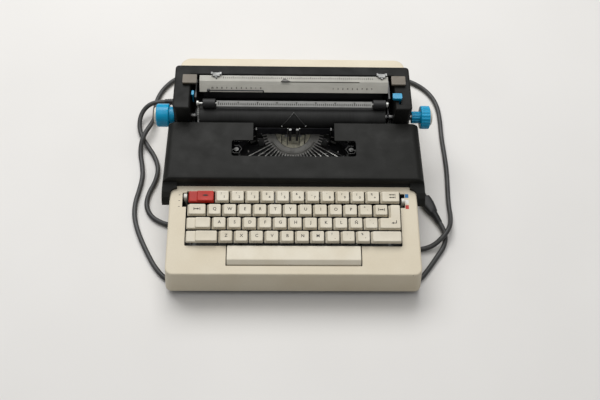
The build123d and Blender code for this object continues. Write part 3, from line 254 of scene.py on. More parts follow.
SHELL = (0.66, 0.595, 0.465)
SHELL_AGED = (0.60, 0.525, 0.39)
shell_finish, shell_tree, shell_shader = moulded("shell_beige", SHELL, SHELL_AGED, 0.46)
dark_point(shell_tree, shell_shader, (0.1475, -0.1672, 0.0495), 0.0015, (0.06, 0.05, 0.04))
dark_point(shell_tree, shell_shader, (-0.118, -0.1668, 0.0495), 0.0008, (0.22, 0.17, 0.11))
show("lower_shell", shell_finish)
KEY_CREAM = (0.66, 0.61, 0.50)
KEY_AGED = (0.60, 0.54, 0.42)
KEY_RED = (0.46, 0.020, 0.007)
RED_AGED = (0.36, 0.025, 0.018)
KEY_GRAIN_DEPTH = 0.000012
key_finish = moulded("key_cream", KEY_CREAM, KEY_AGED, 0.42, KEY_GRAIN_DEPTH, 0.035)[0]
red_finish = moulded("key_red", KEY_RED, RED_AGED, 0.40, KEY_GRAIN_DEPTH, 0.03)[0]
show("space_bar", key_finish)
print("plastics:", shell_finish.name, key_finish.name, red_finish.name)

# %% [markdown]
# ## The charcoal cover
# The lid over the basket and the carriage cover are near black with a matt grain. What makes them look used
# is what lies on them: pale finger smudges, a few fine scuffs and dust. Smudges are noise with a high
# threshold, so they stay rare, and scuffs are fine noise stretched forty times along the machine.

# %% Charcoal plastic
CHARCOAL = (0.013, 0.013, 0.0115)


def charcoal(name, colour):
    """Moulded plastic with smudges, scuffs and dust over it."""
    material, tree, shader = moulded(name, colour, darker(colour, 0.22), 0.52, 0.00004, 0.05, 0.12)
    toned = shader.inputs["Base Color"].links[0].from_socket
    smudge = spread(tree, noise(tree, 0.030, 7.0), 0.56, 0.80, 0.0, 0.55)
    toned = mix_colour(tree, smudge, toned, (0.032, 0.032, 0.030))
    along = place_on(tree, turn=(0.0, 0.0, 0.12), stretch=(40.0, 1.0, 1.0))
    scuff = spread(tree, noise(tree, 0.0007, 2.0, along), 0.70, 0.80, 0.0, 0.30)
    toned = mix_colour(tree, scuff, toned, (0.070, 0.070, 0.066))
    dust = spread(tree, noise(tree, 0.0011, 1.0), 0.76, 0.82, 0.0, 0.35)
    toned = mix_colour(tree, dust, toned, (0.14, 0.133, 0.12))
    tree.links.new(toned, shader.inputs["Base Color"])
    return material


cover_finish = charcoal("cover_charcoal", CHARCOAL)
carriage_finish = charcoal("carriage_charcoal", darker(CHARCOAL, 0.35))
show("ribbon_cover", cover_finish)
show("carriage_cover", carriage_finish)

# %% [markdown]
# ## Metals
# There are three kinds here. Mill-finish steel has fine lines along the part, chrome is plating that
# handling has dulled in slow patches, and enamel is paint with a faint orange-peel relief.

# %% Steel, chrome and enamel
def brushed(name, colour, roughness, stretch):
    """Metal with fine lines along one direction: noise stretched along it, in tone, gloss and relief."""
    material, tree, shader = new_finish(name, colour, roughness, metallic=1.0)
    lines = noise(tree, 0.0006, 3.0, place_on(tree, stretch=stretch))
    toned = mix_colour(tree, spread(tree, lines, 0.3, 0.7), darker(colour, 0.28), colour)
    stain = spread(tree, noise(tree, 0.012, 4.0), 0.5, 0.8, 0.0, 0.45)
    toned = mix_colour(tree, stain, toned, darker(colour, 0.6))
    tree.links.new(toned, shader.inputs["Base Color"])
    gloss = spread(tree, lines, 0.3, 0.7, roughness - 0.06, roughness + 0.10)
    tree.links.new(gloss, shader.inputs["Roughness"])
    add_bump(tree, shader, lines, 0.00001, 0.5)
    return material


def chrome(name, colour, roughness):
    """Bright plating with slow changes of gloss where it has been handled."""
    material, tree, shader = new_finish(name, colour, roughness, metallic=1.0)
    touched = noise(tree, 0.009, 5.0)
    tree.links.new(spread(tree, touched, 0.4, 0.75, roughness, roughness + 0.22), shader.inputs["Roughness"])
    toned = mix_colour(tree, spread(tree, touched, 0.5, 0.8, 0.0, 0.4), colour, darker(colour, 0.4))
    tree.links.new(toned, shader.inputs["Base Color"])
    add_bump(tree, shader, noise(tree, 0.004, 2.0), 0.00002, 0.3)
    return material


def enamel(name, colour, roughness, metallic=0.0):
    """Sprayed paint: slow tone changes, tiny dark specks and orange peel."""
    material, tree, shader = new_finish(name, colour, roughness, metallic=metallic, coat=0.15)
    toned = mix_colour(tree, spread(tree, noise(tree, 0.03, 5.0), 0.35, 0.7), colour, darker(colour, 0.16))
    specks = spread(tree, noise(tree, 0.0012, 1.0), 0.70, 0.80, 0.0, 0.4)
    toned = mix_colour(tree, specks, toned, darker(colour, 0.7))
    tree.links.new(toned, shader.inputs["Base Color"])
    gloss = spread(tree, noise(tree, 0.01, 4.0), 0.3, 0.7, roughness - 0.05, roughness + 0.08)
    tree.links.new(gloss, shader.inputs["Roughness"])
    add_bump(tree, shader, noise(tree, 0.0015, 2.0), 0.00003, 0.4)
    return material, tree, shader


ALONG_X = (30.0, 1.0, 1.0)
steel_finish = brushed("mechanism_steel", (0.30, 0.30, 0.29), 0.38, ALONG_X)
shaft_finish = brushed("shaft_steel", (0.36, 0.36, 0.35), 0.34, (1.0, 12.0, 12.0))
screw_finish = brushed("screw_steel", (0.50, 0.50, 0.49), 0.38, (1.0, 1.0, 8.0))
chrome_finish = chrome("guide_chrome", (0.17, 0.17, 0.165), 0.42)
black_chrome = chrome("guide_blackened", (0.055, 0.055, 0.053), 0.40)
wire_finish = chrome("wire_dull", (0.12, 0.12, 0.117), 0.38)
bright_finish = chrome("bell_steel", (0.55, 0.55, 0.53), 0.16)
bail_finish = chrome("bail_chrome", (0.42, 0.42, 0.40), 0.45)
dark_enamel = enamel("mechanism_dark", (0.022, 0.022, 0.023), 0.42)[0]
pan_finish = enamel("pan_painted", (0.075, 0.075, 0.07), 0.5)[0]
motor_finish = enamel("motor_grey", (0.055, 0.058, 0.062), 0.45)[0]
release_finish = moulded("release_grey", (0.145, 0.122, 0.092), (0.115, 0.096, 0.072), 0.42, age_size=0.02)[0]
for part in ("ribbon_vibrator", "power_roller", "spring_drum"):
    show(part, steel_finish)
for part in ("lever_shaft", "motor_shaft", "platen_shaft"):
    show(part, shaft_finish)
for part in ("margin_stop_left", "margin_stop_right"):
    show(part, chrome_finish)
show("ribbon_guides", black_chrome)
show("card_guide", wire_finish)
for part in ("inner_frame", "carriage_frame", "key_levers", "paper_support"):
    show(part, dark_enamel)
for part in ("carriage_release_left", "carriage_release_right"):
    show(part, release_finish)
show("base_screws", screw_finish)
show("base_plate", pan_finish)
show("drive_motor", motor_finish)
show("margin_bell", bright_finish)
show("paper_bail", bail_finish)

# %% [markdown]
# ## The type basket
# The segment is the machined half ring that the typebars hinge in. Its plate carries fine lathe lines about
# the basket's own centre, and the disc in the middle is a dull olive brass, here painted far paler as painted
# light for the shade it lies in under the platen. Both come from one distance: how far a point is from the
# basket's axis. The disc and ring are drawn to the sizes seen, which are larger than those of the solid under
# them. Outside the ring the finish draws bright ridges with painted shade between them for the dark gaps
# between bars, as a cosine of the angle round the same axis; the same dark draws the groove round the disc.
# One ridge stands for two bars, because a ridge on each would be finer than what is seen.

# %% Segment, typebars and ribbon
BASKET_CENTRE = (0.0, 0.050, 0.054)
BASKET_TILT = math.radians(25.0)
DISC_RADIUS = 0.0245
RING_RADIUS = 0.0365
LATHE_PITCH = 0.0011
RIDGES_PER_TURN = 63.0
# Dark for the groove round the disc, and painted shade for the gaps between typebars.
GROOVE_AND_GAP_SHADE = (0.010, 0.010, 0.009)


def radial_distance(tree, centre, turn):
    """Distance from an axis: the length of a place once its height along the axis is dropped."""
    here = place_on(tree, centre, turn)
    split = tree.nodes.new("ShaderNodeSeparateXYZ")
    tree.links.new(here, split.inputs[0])
    flat = tree.nodes.new("ShaderNodeCombineXYZ")
    tree.links.new(split.outputs[0], flat.inputs[0])
    tree.links.new(split.outputs[1], flat.inputs[1])
    reach = tree.nodes.new("ShaderNodeVectorMath")
    reach.operation = "LENGTH"
    tree.links.new(flat.outputs[0], reach.inputs[0])
    return reach.outputs["Value"]


def bar_ridges(tree, centre, turn):
    """One on a ridge and nought between two: the cosine of the angle times the ridges in a full turn."""
    split = tree.nodes.new("ShaderNodeSeparateXYZ")
    tree.links.new(place_on(tree, centre, turn), split.inputs[0])
    angle = math_node(tree, "ARCTAN2", split.outputs[0], math_node(tree, "MULTIPLY", split.outputs[1], -1.0))
    wave = math_node(tree, "COSINE", math_node(tree, "MULTIPLY", angle, RIDGES_PER_TURN))
    return spread(tree, wave, 0.15, 0.75)


def segment_metal():
    """Lathe lines as a sine of the distance from the axis, olive painted pale as painted light inside the
    disc, and past the ring ridges with painted shade between.
    """
    ring_grey = (0.40, 0.39, 0.36)
    # The olive is painted far paler than dull brass: painted light for the shade the disc lies in under the
    # platen.
    olive = (0.80, 0.76, 0.58)
    material, tree, shader = new_finish("segment_grey", ring_grey, 0.45, metallic=0.1)
    reach = radial_distance(tree, BASKET_CENTRE, (BASKET_TILT, 0.0, 0.0))
    lines = math_node(tree, "SINE", math_node(tree, "MULTIPLY", reach, 2 * math.pi / LATHE_PITCH))
    lines = spread(tree, lines, -1.0, 1.0)
    toned = mix_colour(tree, spread(tree, lines, 0.0, 1.0, 0.0, 0.55), ring_grey, darker(ring_grey, 0.45))
    outside = spread(tree, reach, RING_RADIUS, RING_RADIUS + 0.0004)
    ridges = bar_ridges(tree, BASKET_CENTRE, (BASKET_TILT, 0.0, 0.0))
    # Painted shade: black between the ridges stands for the dark gaps between bars.
    comb = mix_colour(tree, ridges, GROOVE_AND_GAP_SHADE, ring_grey)
    toned = mix_colour(tree, outside, toned, comb)
    groove = spread(tree, reach, DISC_RADIUS, DISC_RADIUS + 0.0007, 1.0, 0.0)
    toned = mix_colour(tree, groove, toned, GROOVE_AND_GAP_SHADE)
    inside = spread(tree, reach, DISC_RADIUS - 0.0003, DISC_RADIUS, 1.0, 0.0)
    mottled = mix_colour(tree, spread(tree, noise(tree, 0.004, 5.0), 0.35, 0.7), olive, darker(olive, 0.4))
    toned = mix_colour(tree, inside, toned, mottled)
    grime = spread(tree, noise(tree, 0.007, 5.0), 0.5, 0.75, 0.0, 0.5)
    toned = mix_colour(tree, grime, toned, (0.03, 0.028, 0.024))
    tree.links.new(toned, shader.inputs["Base Color"])
    add_bump(tree, shader, lines, 0.00005, 0.5)
    return material


def typebar_metal():
    """Oiled steel, bright along each ridge: blotches as wide as a bar, a film, and painted shade between
    ridges.
    """
    steel = (0.74, 0.73, 0.69)
    material, tree, shader = new_finish("typebar_steel", steel, 0.36, metallic=0.35)
    toned = mix_colour(tree, spread(tree, noise(tree, 0.0035, 2.0), 0.45, 0.70), steel, darker(steel, 0.6))
    film = spread(tree, noise(tree, 0.012, 4.0), 0.55, 0.75, 0.0, 0.6)
    toned = mix_colour(tree, film, toned, (0.02, 0.02, 0.018))
    # Painted shade: the bars go black between ridges, for the dark gaps between them.
    toned = mix_colour(tree, bar_ridges(tree, BASKET_CENTRE, (BASKET_TILT, 0.0, 0.0)), GROOVE_AND_GAP_SHADE, toned)
    tree.links.new(toned, shader.inputs["Base Color"])
    return material


def inked_band():
    """Ribbon cloth: threads crossing at right angles, as two sines multiplied, under dull ink."""
    ink = (0.006, 0.006, 0.008)
    thread = 0.00035
    material, tree, shader = new_finish("ribbon_fabric", ink, 0.75)
    split = tree.nodes.new("ShaderNodeSeparateXYZ")
    tree.links.new(place_on(tree), split.inputs[0])
    across = math_node(tree, "SINE", math_node(tree, "MULTIPLY", split.outputs[0], 2 * math.pi / thread))
    upward = math_node(tree, "SINE", math_node(tree, "MULTIPLY", split.outputs[2], 2 * math.pi / thread))
    weave = spread(tree, math_node(tree, "MULTIPLY", across, upward), -1.0, 1.0)
    toned = mix_colour(tree, weave, ink, (0.014, 0.014, 0.018))
    worn = spread(tree, noise(tree, 0.02, 3.0), 0.45, 0.7, 0.0, 0.6)
    toned = mix_colour(tree, worn, toned, (0.030, 0.030, 0.034))
    tree.links.new(toned, shader.inputs["Base Color"])
    add_bump(tree, shader, weave, 0.00006, 0.6)
    return material


typebar_finish = typebar_metal()
show("type_segment", segment_metal())
show("typebars", typebar_finish)
show("centre_typebar", typebar_finish)
show("ink_ribbon", inked_band())

# %% [markdown]
# ## Rubber and glossy plastic
# The platen is ground rubber: matt, with the faint turning lines of the grinder running round it. The knobs
# and levers are glossy, so a thin clear coat lies over the colour.

# %% Rubber, knobs and levers
RUBBER_GRAIN = 0.0008


def rubber(name, colour, roughness, stretch=(1.0, 1.0, 1.0)):
    """Matt rubber: grain in tone and relief, with pale bloom in slow patches."""
    material, tree, shader = new_finish(name, colour, roughness)
    fine = noise(tree, RUBBER_GRAIN, 3.0, place_on(tree, stretch=stretch))
    toned = mix_colour(tree, spread(tree, fine, 0.3, 0.7), colour, darker(colour, 0.35))
    bloom = spread(tree, noise(tree, 0.025, 5.0), 0.5, 0.8, 0.0, 0.35)
    toned = mix_colour(tree, bloom, toned, tuple(channel + 0.025 for channel in colour))
    tree.links.new(toned, shader.inputs["Base Color"])
    add_bump(tree, shader, fine, 0.00004, 0.5)
    return material


def glossy(name, colour):
    """Polished plastic: an even colour with slight streaks, under a clear coat with faint handling marks."""
    material, tree, shader = new_finish(name, colour, 0.34, coat=0.16, shine=0.2)
    shader.inputs["Coat Roughness"].default_value = 0.12
    toned = mix_colour(tree, spread(tree, noise(tree, 0.008, 4.0), 0.35, 0.7), colour, darker(colour, 0.14))
    grime = spread(tree, noise(tree, 0.0025, 5.0), 0.62, 0.80, 0.0, 0.35)
    toned = mix_colour(tree, grime, toned, darker(colour, 0.6))
    tree.links.new(toned, shader.inputs["Base Color"])
    handled = spread(tree, noise(tree, 0.004, 5.0), 0.4, 0.7, 0.26, 0.42)
    tree.links.new(handled, shader.inputs["Roughness"])
    return material


platen_finish = rubber("platen_rubber", (0.020, 0.020, 0.019), 0.55, stretch=(1.0, 14.0, 14.0))
bail_rubber = rubber("bail_rubber", (0.018, 0.018, 0.018), 0.55)
foot_finish = rubber("foot_rubber", (0.020, 0.020, 0.020), 0.7)
belt_finish = rubber("belt_rubber", (0.016, 0.016, 0.016), 0.6)
plug_finish = rubber("plug_black", (0.022, 0.022, 0.022), 0.42)
spool_finish = glossy("spool_plastic", (0.016, 0.016, 0.016))
blue_finish = glossy("knob_blue", (0.003, 0.285, 0.500))
lever_blue_finish = glossy("lever_blue", (0.003, 0.260, 0.460))
cap_finish = glossy("cap_cream", (0.66, 0.62, 0.52))
light_finish = glossy("lever_light", (0.55, 0.53, 0.47))
pointer_finish = glossy("pointer_brown", (0.060, 0.055, 0.045))
show("platen_roller", platen_finish)
show("rubber_feet", foot_finish)
show("drive_belt", belt_finish)
show("knob_caps", cap_finish)
show("cord_strain_relief", plug_finish)
show("paper_pointer", pointer_finish)
for part in ("bail_roller_left", "bail_roller_right"):
    show(part, bail_rubber)
for part in ("ribbon_spool_left", "ribbon_spool_right"):
    show(part, spool_finish)
for part in ("platen_knob_left", "platen_knob_right"):
    show(part, blue_finish)
for part in ("paper_release_lever", "line_space_lever"):
    show(part, lever_blue_finish)
for part in ("impression_lever", "ribbon_colour_lever"):
    show(part, light_finish)
print("materials so far:", len(bpy.data.materials))

# %% [markdown]
# ## The paper table
# The table is silver enamel. The numerals stand on its sloping front, which is painted paler than the rest:
# the slope gets less light in this scene, and the paler paint brings it near the tone that is seen.

# %% Paper table
STRIP_EDGE = 0.0765
# Both strip tones are painted light: paler than the table's enamel to make up for the light the slope lacks,
# mottled between by noise.
STRIP_PAINTED_LIGHT = (0.66, 0.64, 0.57)
STRIP_PAINTED_LIGHT_DIM = (0.52, 0.50, 0.44)
table_finish, table_tree, table_shader = enamel("table_silver", (0.345, 0.335, 0.295), 0.42, metallic=0.1)
split_table = table_tree.nodes.new("ShaderNodeSeparateXYZ")
table_tree.links.new(place_on(table_tree), split_table.inputs[0])
in_strip = spread(table_tree, split_table.outputs[1], STRIP_EDGE - 0.0002, STRIP_EDGE + 0.0002, 1.0, 0.0)
before_strip = table_shader.inputs["Base Color"].links[0].from_socket
strip_tone = mix_colour(table_tree, noise(table_tree, 0.012, 5.0), STRIP_PAINTED_LIGHT, STRIP_PAINTED_LIGHT_DIM)
table_tone = mix_colour(table_tree, in_strip, before_strip, strip_tone)
table_tree.links.new(table_tone, table_shader.inputs["Base Color"])
show("paper_table", table_finish)
print("finishes made:", len(bpy.data.materials))

# %% [markdown]
# ## The mains lead
# The lead leaves a ribbed gland at the left rear, falls to the table, passes under the machine, goes round
# its right side and back, and comes along the front to the plug. It is one smooth spline drawn by listed
# control points, each about a thumb's width or two apart, with a round bevel. Where it crosses
# itself it lifts in a hump.

# %% Mains lead
LEAD_POINTS = [
    (-0.183, 0.123, 0.0192), (-0.1945, 0.123, 0.0192), (-0.206, 0.119, 0.0172),
    (-0.2146, 0.1106, 0.0128), (-0.2184, 0.0988, 0.0086), (-0.2178, 0.0854, 0.0052),
    (-0.2126, 0.0706, 0.0036), (-0.2026, 0.0546, 0.0036), (-0.192, 0.038, 0.0036),
    (-0.1856, 0.018, 0.0036), (-0.1885, -0.003, 0.0036), (-0.196, -0.021, 0.0036),
    (-0.1985, -0.04, 0.0036), (-0.191, -0.057, 0.0036), (-0.175, -0.068, 0.0036),
    (-0.15, -0.0745, 0.0036), (-0.111, -0.0785, 0.0036), (-0.052, -0.089, 0.0036),
    (0.014, -0.095, 0.0036), (0.078, -0.097, 0.0036), (0.128, -0.1025, 0.0036), (0.164, -0.107, 0.0036),
    (0.184, -0.103, 0.0065), (0.198, -0.0925, 0.0138), (0.2085, -0.078, 0.0138),
    (0.213, -0.058, 0.0065), (0.2125, -0.036, 0.0036), (0.214, -0.01, 0.0036), (0.2155, 0.018, 0.0036),
    (0.215, 0.046, 0.0036), (0.2135, 0.076, 0.0036), (0.2145, 0.106, 0.0036), (0.213, 0.131, 0.0036),
    (0.205, 0.152, 0.0036), (0.19, 0.169, 0.0036), (0.168, 0.181, 0.0036), (0.138, 0.188, 0.0036),
    (0.094, 0.19, 0.0036), (0.046, 0.1865, 0.0036), (-0.008, 0.184, 0.0036), (-0.062, 0.1875, 0.0036),
    (-0.108, 0.191, 0.0036), (-0.144, 0.1895, 0.0036), (-0.172, 0.1795, 0.0036),
    (-0.189, 0.1605, 0.0036), (-0.198, 0.138, 0.0036), (-0.1986, 0.118, 0.0038),
    (-0.1975, 0.101, 0.0076), (-0.201, 0.086, 0.0138), (-0.208, 0.072, 0.0138), (-0.2128, 0.057, 0.009),
    (-0.213, 0.042, 0.004), (-0.209, 0.025, 0.0036), (-0.2064, 0.006, 0.0036), (-0.209, -0.015, 0.0036),
    (-0.2135, -0.038, 0.0036), (-0.212, -0.061, 0.0036), (-0.204, -0.085, 0.0036),
    (-0.192, -0.11, 0.0036), (-0.1795, -0.133, 0.0036), (-0.163, -0.1515, 0.0036),
    (-0.138, -0.16, 0.0036), (-0.1, -0.1585, 0.0036), (-0.052, -0.1615, 0.0036), (0, -0.158, 0.0036),
    (0.052, -0.161, 0.0036), (0.1, -0.158, 0.0036), (0.138, -0.16, 0.0036), (0.162, -0.1525, 0.0036),
    (0.176, -0.1355, 0.0036), (0.189, -0.117, 0.0036), (0.1992, -0.103, 0.0044), (0.2032, -0.09, 0.006),
    (0.20165, -0.07597, 0.006), (0.197, -0.066, 0.006),
]
LEAD_DIAMETER = 0.0065


def lead_finish():
    """Grey vinyl: a slow change of tone, fine dust, and a faint bump from noise."""
    vinyl = (0.048, 0.048, 0.047)
    material, tree, shader = new_finish("cord_grey", vinyl, 0.42)
    toned = mix_colour(tree, spread(tree, noise(tree, 0.02, 5.0), 0.35, 0.7), vinyl, darker(vinyl, 0.35))
    dust = spread(tree, noise(tree, 0.0015, 2.0), 0.62, 0.8, 0.0, 0.4)
    toned = mix_colour(tree, dust, toned, (0.11, 0.105, 0.10))
    tree.links.new(toned, shader.inputs["Base Color"])
    add_bump(tree, shader, noise(tree, 0.003, 3.0), 0.00006, 0.5)
    return material


def lead_curve():
    """A NURBS spline of third order from the first control point to the last, drawn by those between."""
    curve = bpy.data.curves.new("mains_lead", "CURVE")
    curve.dimensions = "3D"
    spline = curve.splines.new("NURBS")
    spline.points.add(len(LEAD_POINTS) - 1)
    weighted = np.column_stack([np.array(LEAD_POINTS), np.ones(len(LEAD_POINTS))])
    spline.points.foreach_set("co", weighted.ravel())
    spline.order_u = 3
    spline.use_endpoint_u = True
    spline.resolution_u = 6
    curve.bevel_depth = LEAD_DIAMETER / 2
    curve.bevel_resolution = 5
    curve.use_fill_caps = True
    lead = bpy.data.objects.new("mains_lead", curve)
    scene.collection.objects.link(lead)
    return lead


mains_lead = lead_curve()
mains_lead.data.materials.append(lead_finish())
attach(mains_lead, "machine")
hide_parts("mains_cord")
print("lead control points:", len(LEAD_POINTS))

# %% [markdown]
# ## Shapes made of rings
# Most of the new pieces are skins drawn through rings: a keycap is an outline that climbs its skirt, rolls
# over a soft edge and runs in across a dished top. A ring has the same number of points at every level, so
# neighbours join as four-sided faces. These helpers work in millimetres, and the last one turns a skin into
# an object.

# %% Ring helpers
SHARP_ABOVE = math.radians(38.0)


def rounded_outline(corners, radius, arc_points=4, side_points=5):
    """A polygon with round corners. With unit steps b back and a ahead along its two sides, a corner's arc is
    corner + radius (b + a) - radius (a cos t + b sin t), for t from 0 to a quarter turn."""
    corners = np.asarray(corners, float)
    back = np.roll(corners, 1, axis=0) - corners
    ahead = np.roll(corners, -1, axis=0) - corners
    back /= np.linalg.norm(back, axis=1, keepdims=True)
    ahead /= np.linalg.norm(ahead, axis=1, keepdims=True)
    turn = np.linspace(0.0, math.pi / 2, arc_points)[None, :, None]
    swing = ahead[:, None] * np.cos(turn) + back[:, None] * np.sin(turn)
    arcs = corners[:, None] + radius * (back + ahead)[:, None] - radius * swing
    share = np.linspace(0.0, 1.0, side_points + 2)[1:-1][None, :, None]
    start = arcs[:, -1:]
    sides = start + (np.roll(arcs[:, :1], -1, axis=0) - start) * share
    return np.concatenate([arcs, sides], axis=1).reshape(-1, 2)


def drawn_in(corners, left, right, front, rear):
    """A right-angled outline with each side moved inwards by the amount for the way that it faces."""
    corners = np.asarray(corners, float)
    run = np.sign(np.roll(corners, -1, axis=0) - corners)
    facing = np.column_stack([run[:, 1], -run[:, 0]])
    move = np.where(facing < 0, (left, front), (right, rear)) * facing
    return corners - move - np.roll(move, 1, axis=0)


def rectangle(x0, x1, y0, y1):
    """The corners of a rectangle, anticlockwise."""
    return [(x0, y0), (x1, y0), (x1, y1), (x0, y1)]


def level(outline, height):
    """An outline at one height."""
    return np.column_stack([outline, np.broadcast_to(height, len(outline))])


def through(rings):
    """A closed skin through rings listed upwards, each anticlockwise from above: points, sides, ends."""
    count = len(rings[0])
    foot = np.arange(len(rings) - 1)[:, None] * count
    here = foot + np.arange(count)[None, :]
    beside = foot + (np.arange(count)[None, :] + 1) % count
    sides = np.stack([here, beside, beside + count, here + count], axis=-1).reshape(-1, 4)
    top = (len(rings) - 1) * count + np.arange(count)
    return np.vstack(rings), sides, [np.arange(count)[::-1], top]


def prism(outline, low, high):
    """A flat plate with this outline between two heights."""
    outline = np.asarray(outline, float)
    return through([level(outline, low), level(outline, high)])


def joined(skins):
    """Several skins as one."""
    points, sides, ends, first = [], [], [], 0
    for skin_points, skin_sides, skin_ends in skins:
        points.append(skin_points)
        sides.append(skin_sides + first)
        ends.extend(end + first for end in skin_ends)
        first += len(skin_points)
    return np.vstack(points), np.vstack(sides), ends


def moved(skin, turn, place):
    """A skin turned by a 3 by 3 matrix and then shifted."""
    points, sides, ends = skin
    return points @ np.asarray(turn).T + np.asarray(place), sides, ends


def tilt_x(degrees):
    """A turn about the X axis."""
    return np.array(Matrix.Rotation(math.radians(degrees), 3, "X"))


def add_piece(name, skin, finish, body, replaced=()):
    """An object from a skin in millimetres, smooth but for its sharp corners, riding its body."""
    points, sides, ends = skin
    mesh = bpy.data.meshes.new(name)
    mesh.from_pydata((points * MM).tolist(), [], sides.tolist() + [end.tolist() for end in ends])
    mesh.shade_smooth()
    mesh.set_sharp_from_angle(angle=SHARP_ABOVE)
    mesh.materials.append(finish)
    piece = bpy.data.objects.new(name, mesh)
    scene.collection.objects.link(piece)
    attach(piece, body)
    if replaced:
        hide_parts(*replaced)
    return piece


# %% [markdown]
# ## Keycaps
# Each cap's top is smaller than its foot and set back to the right and rear, so its left and front skirts
# show. The rolled edge is a quarter of an ellipse, and the top sinks by a third of a millimetre at its
# middle. Some wide keys have a low step at the left, and the return key is an L.

# %% Keycap shapes
KEY_PITCH = 19.05
KEY_SLOPE = 10.9
ROW_Y = (-68.6, -86.2, -103.4, -120.6)
ROW_Z = (76.2, 72.9, 69.6, 66.2)
FIRST_KEY_X = (-91.0, -100.6, -94.2, -85.4)
CAP_WIDTH = 17.6
CAP_DEPTH = 15.2
CAP_HEIGHT = 4.6
CAP_STEP = 1.9
TOP_INSETS = (2.8, 0.6, 1.6, 0.6)
STEP_INSETS = (1.4, 0.6, 1.0, 0.6)
ROLLED_EDGE = 0.8
STEM_TOP = 0.5 - CAP_HEIGHT
STEM_TIP = -26.0
DISH = 0.35
STEM_INSET = 6.0


def cap_outline(width):
    """The foot of a plain cap, about its own centre."""
    return rectangle(-width / 2, width / 2, -CAP_DEPTH / 2, CAP_DEPTH / 2)


def dish_level(x, y, corners, insets):
    """A dished top: minus the dish, times (1 - u u) (1 - v v), with u and v from -1 to 1 across it."""
    crown = drawn_in(corners, *insets)
    low = crown.min(axis=0)
    high = crown.max(axis=0)
    u = np.clip((2 * x - low[0] - high[0]) / (high[0] - low[0]), -1, 1)
    v = np.clip((2 * y - low[1] - high[1]) / (high[1] - low[1]), -1, 1)
    return -DISH * (1 - u * u) * (1 - v * v)


def cap_skin(corners, insets=TOP_INSETS, height=CAP_HEIGHT, base=0.0, centre=None, dished=True):
    """A cap from its foot's corners: skirt, rolled edge, and rings that shrink to the top's centre."""
    foot = rounded_outline(corners, 1.2)
    crown = rounded_outline(drawn_in(corners, *insets), 1.6)
    shoulder = foot + (crown - foot) * (1.0 - ROLLED_EDGE / height)
    rim_insets = [amount + 0.6 * ROLLED_EDGE for amount in insets]
    rim = rounded_outline(drawn_in(corners, *rim_insets), 1.6)
    rings = [level(foot, -height), level(shoulder, -ROLLED_EDGE)]
    for turn in np.linspace(0.0, math.pi / 2, 5)[1:]:
        outline = shoulder + (rim - shoulder) * (1.0 - math.cos(turn))
        rings.append(level(outline, -ROLLED_EDGE * (1.0 - math.sin(turn))))
    middle = rim.mean(axis=0) if centre is None else np.array(centre)
    for share in (0.82, 0.64, 0.46, 0.28, 0.12):
        outline = middle + (rim - middle) * share
        sunk = dish_level(outline[:, 0], outline[:, 1], corners, rim_insets) if dished else 0.0
        rings.append(level(outline, sunk))
    points, sides, ends = through(rings)
    return points + (0.0, 0.0, base), sides, ends


def stem_skin(x, y=0.0):
    """The flat blade under a cap."""
    return prism(rectangle(x - 0.7, x + 0.7, y - 3.0, y + 3.0), STEM_TIP, STEM_TOP)


def on_row(skin, x, row):
    """A cap or legend drawn about its top's centre, set on its row."""
    return moved(skin, tilt_x(KEY_SLOPE), (x, ROW_Y[row], ROW_Z[row]))


def wide_cap(x0, x1, row, step=0.0):
    """A wide key with a low step at its left where it has one."""
    width = x1 - x0
    raised = rectangle(-width / 2 + step, width / 2, -CAP_DEPTH / 2, CAP_DEPTH / 2)
    skins = [cap_skin(raised)]
    if step:
        step_height = CAP_HEIGHT - CAP_STEP
        skins.append(cap_skin(cap_outline(width), STEP_INSETS, step_height, -CAP_STEP, dished=False))
    return on_row(joined(skins), (x0 + x1) / 2, row)


def wide_stems(x0, x1, row):
    """The two blades under a wide key."""
    reach = (x1 - x0) / 2 - STEM_INSET
    return on_row(joined([stem_skin(-reach), stem_skin(reach)]), (x0 + x1) / 2, row)


def add_key(node, caps, stems, body, finish=key_finish):
    """A key's cap in its plastic and its dark blades, in place of one engineering part."""
    add_piece(node + "_cap", caps, finish, body, (node,))
    add_piece(node + "_stems", stems, dark_enamel, body, (node,))


single_cap = cap_skin(cap_outline(CAP_WIDTH))
ROW_BODIES = ("number_row", "upper_row", "home_row", "lower_row")
ROW_NODES = ("number_row_keys", "upper_letter_keys", "home_row_keys", "lower_letter_keys")
ROW_COUNT = (11, 11, 11, 10)
for row, (body, node, count) in enumerate(zip(ROW_BODIES, ROW_NODES, ROW_COUNT)):
    places = FIRST_KEY_X[row] + KEY_PITCH * np.arange(count)
    caps = joined([on_row(single_cap, x, row) for x in places])
    stems = joined([on_row(stem_skin(0.0), x, row) for x in places])
    add_key(node, caps, stems, body)

RED_KEY = (-133.4, -101.2)
BACKSPACE = (109.6, 134.0)
TAB_KEY = (-134.0, -110.9)
MARGIN_KEY = (100.4, 118.2)
LOCK_KEY = (-134.6, -104.4)
LEFT_SHIFT = (-134.8, -95.6)
RIGHT_SHIFT = (96.0, 134.4)
add_key("red_key", wide_cap(*RED_KEY, 0, 9.0), wide_stems(*RED_KEY, 0), "red_key", red_finish)
add_key("backspace_key", wide_cap(*BACKSPACE, 0), wide_stems(*BACKSPACE, 0), "backspace_key")
add_key("tab_key", wide_cap(*TAB_KEY, 1), wide_stems(*TAB_KEY, 1), "tab_key")
add_key("margin_release_key", wide_cap(*MARGIN_KEY, 1), wide_stems(*MARGIN_KEY, 1), "margin_release_key")
add_key("shift_lock_key", wide_cap(*LOCK_KEY, 2, 9.0), wide_stems(*LOCK_KEY, 2), "shift_lock_key")
shift_caps = joined([wide_cap(*LEFT_SHIFT, 3, 10.0), wide_cap(*RIGHT_SHIFT, 3)])
shift_stems = joined([wide_stems(*LEFT_SHIFT, 3), wide_stems(*RIGHT_SHIFT, 3)])
add_key("shift_keys", shift_caps, shift_stems, "shift_keys")

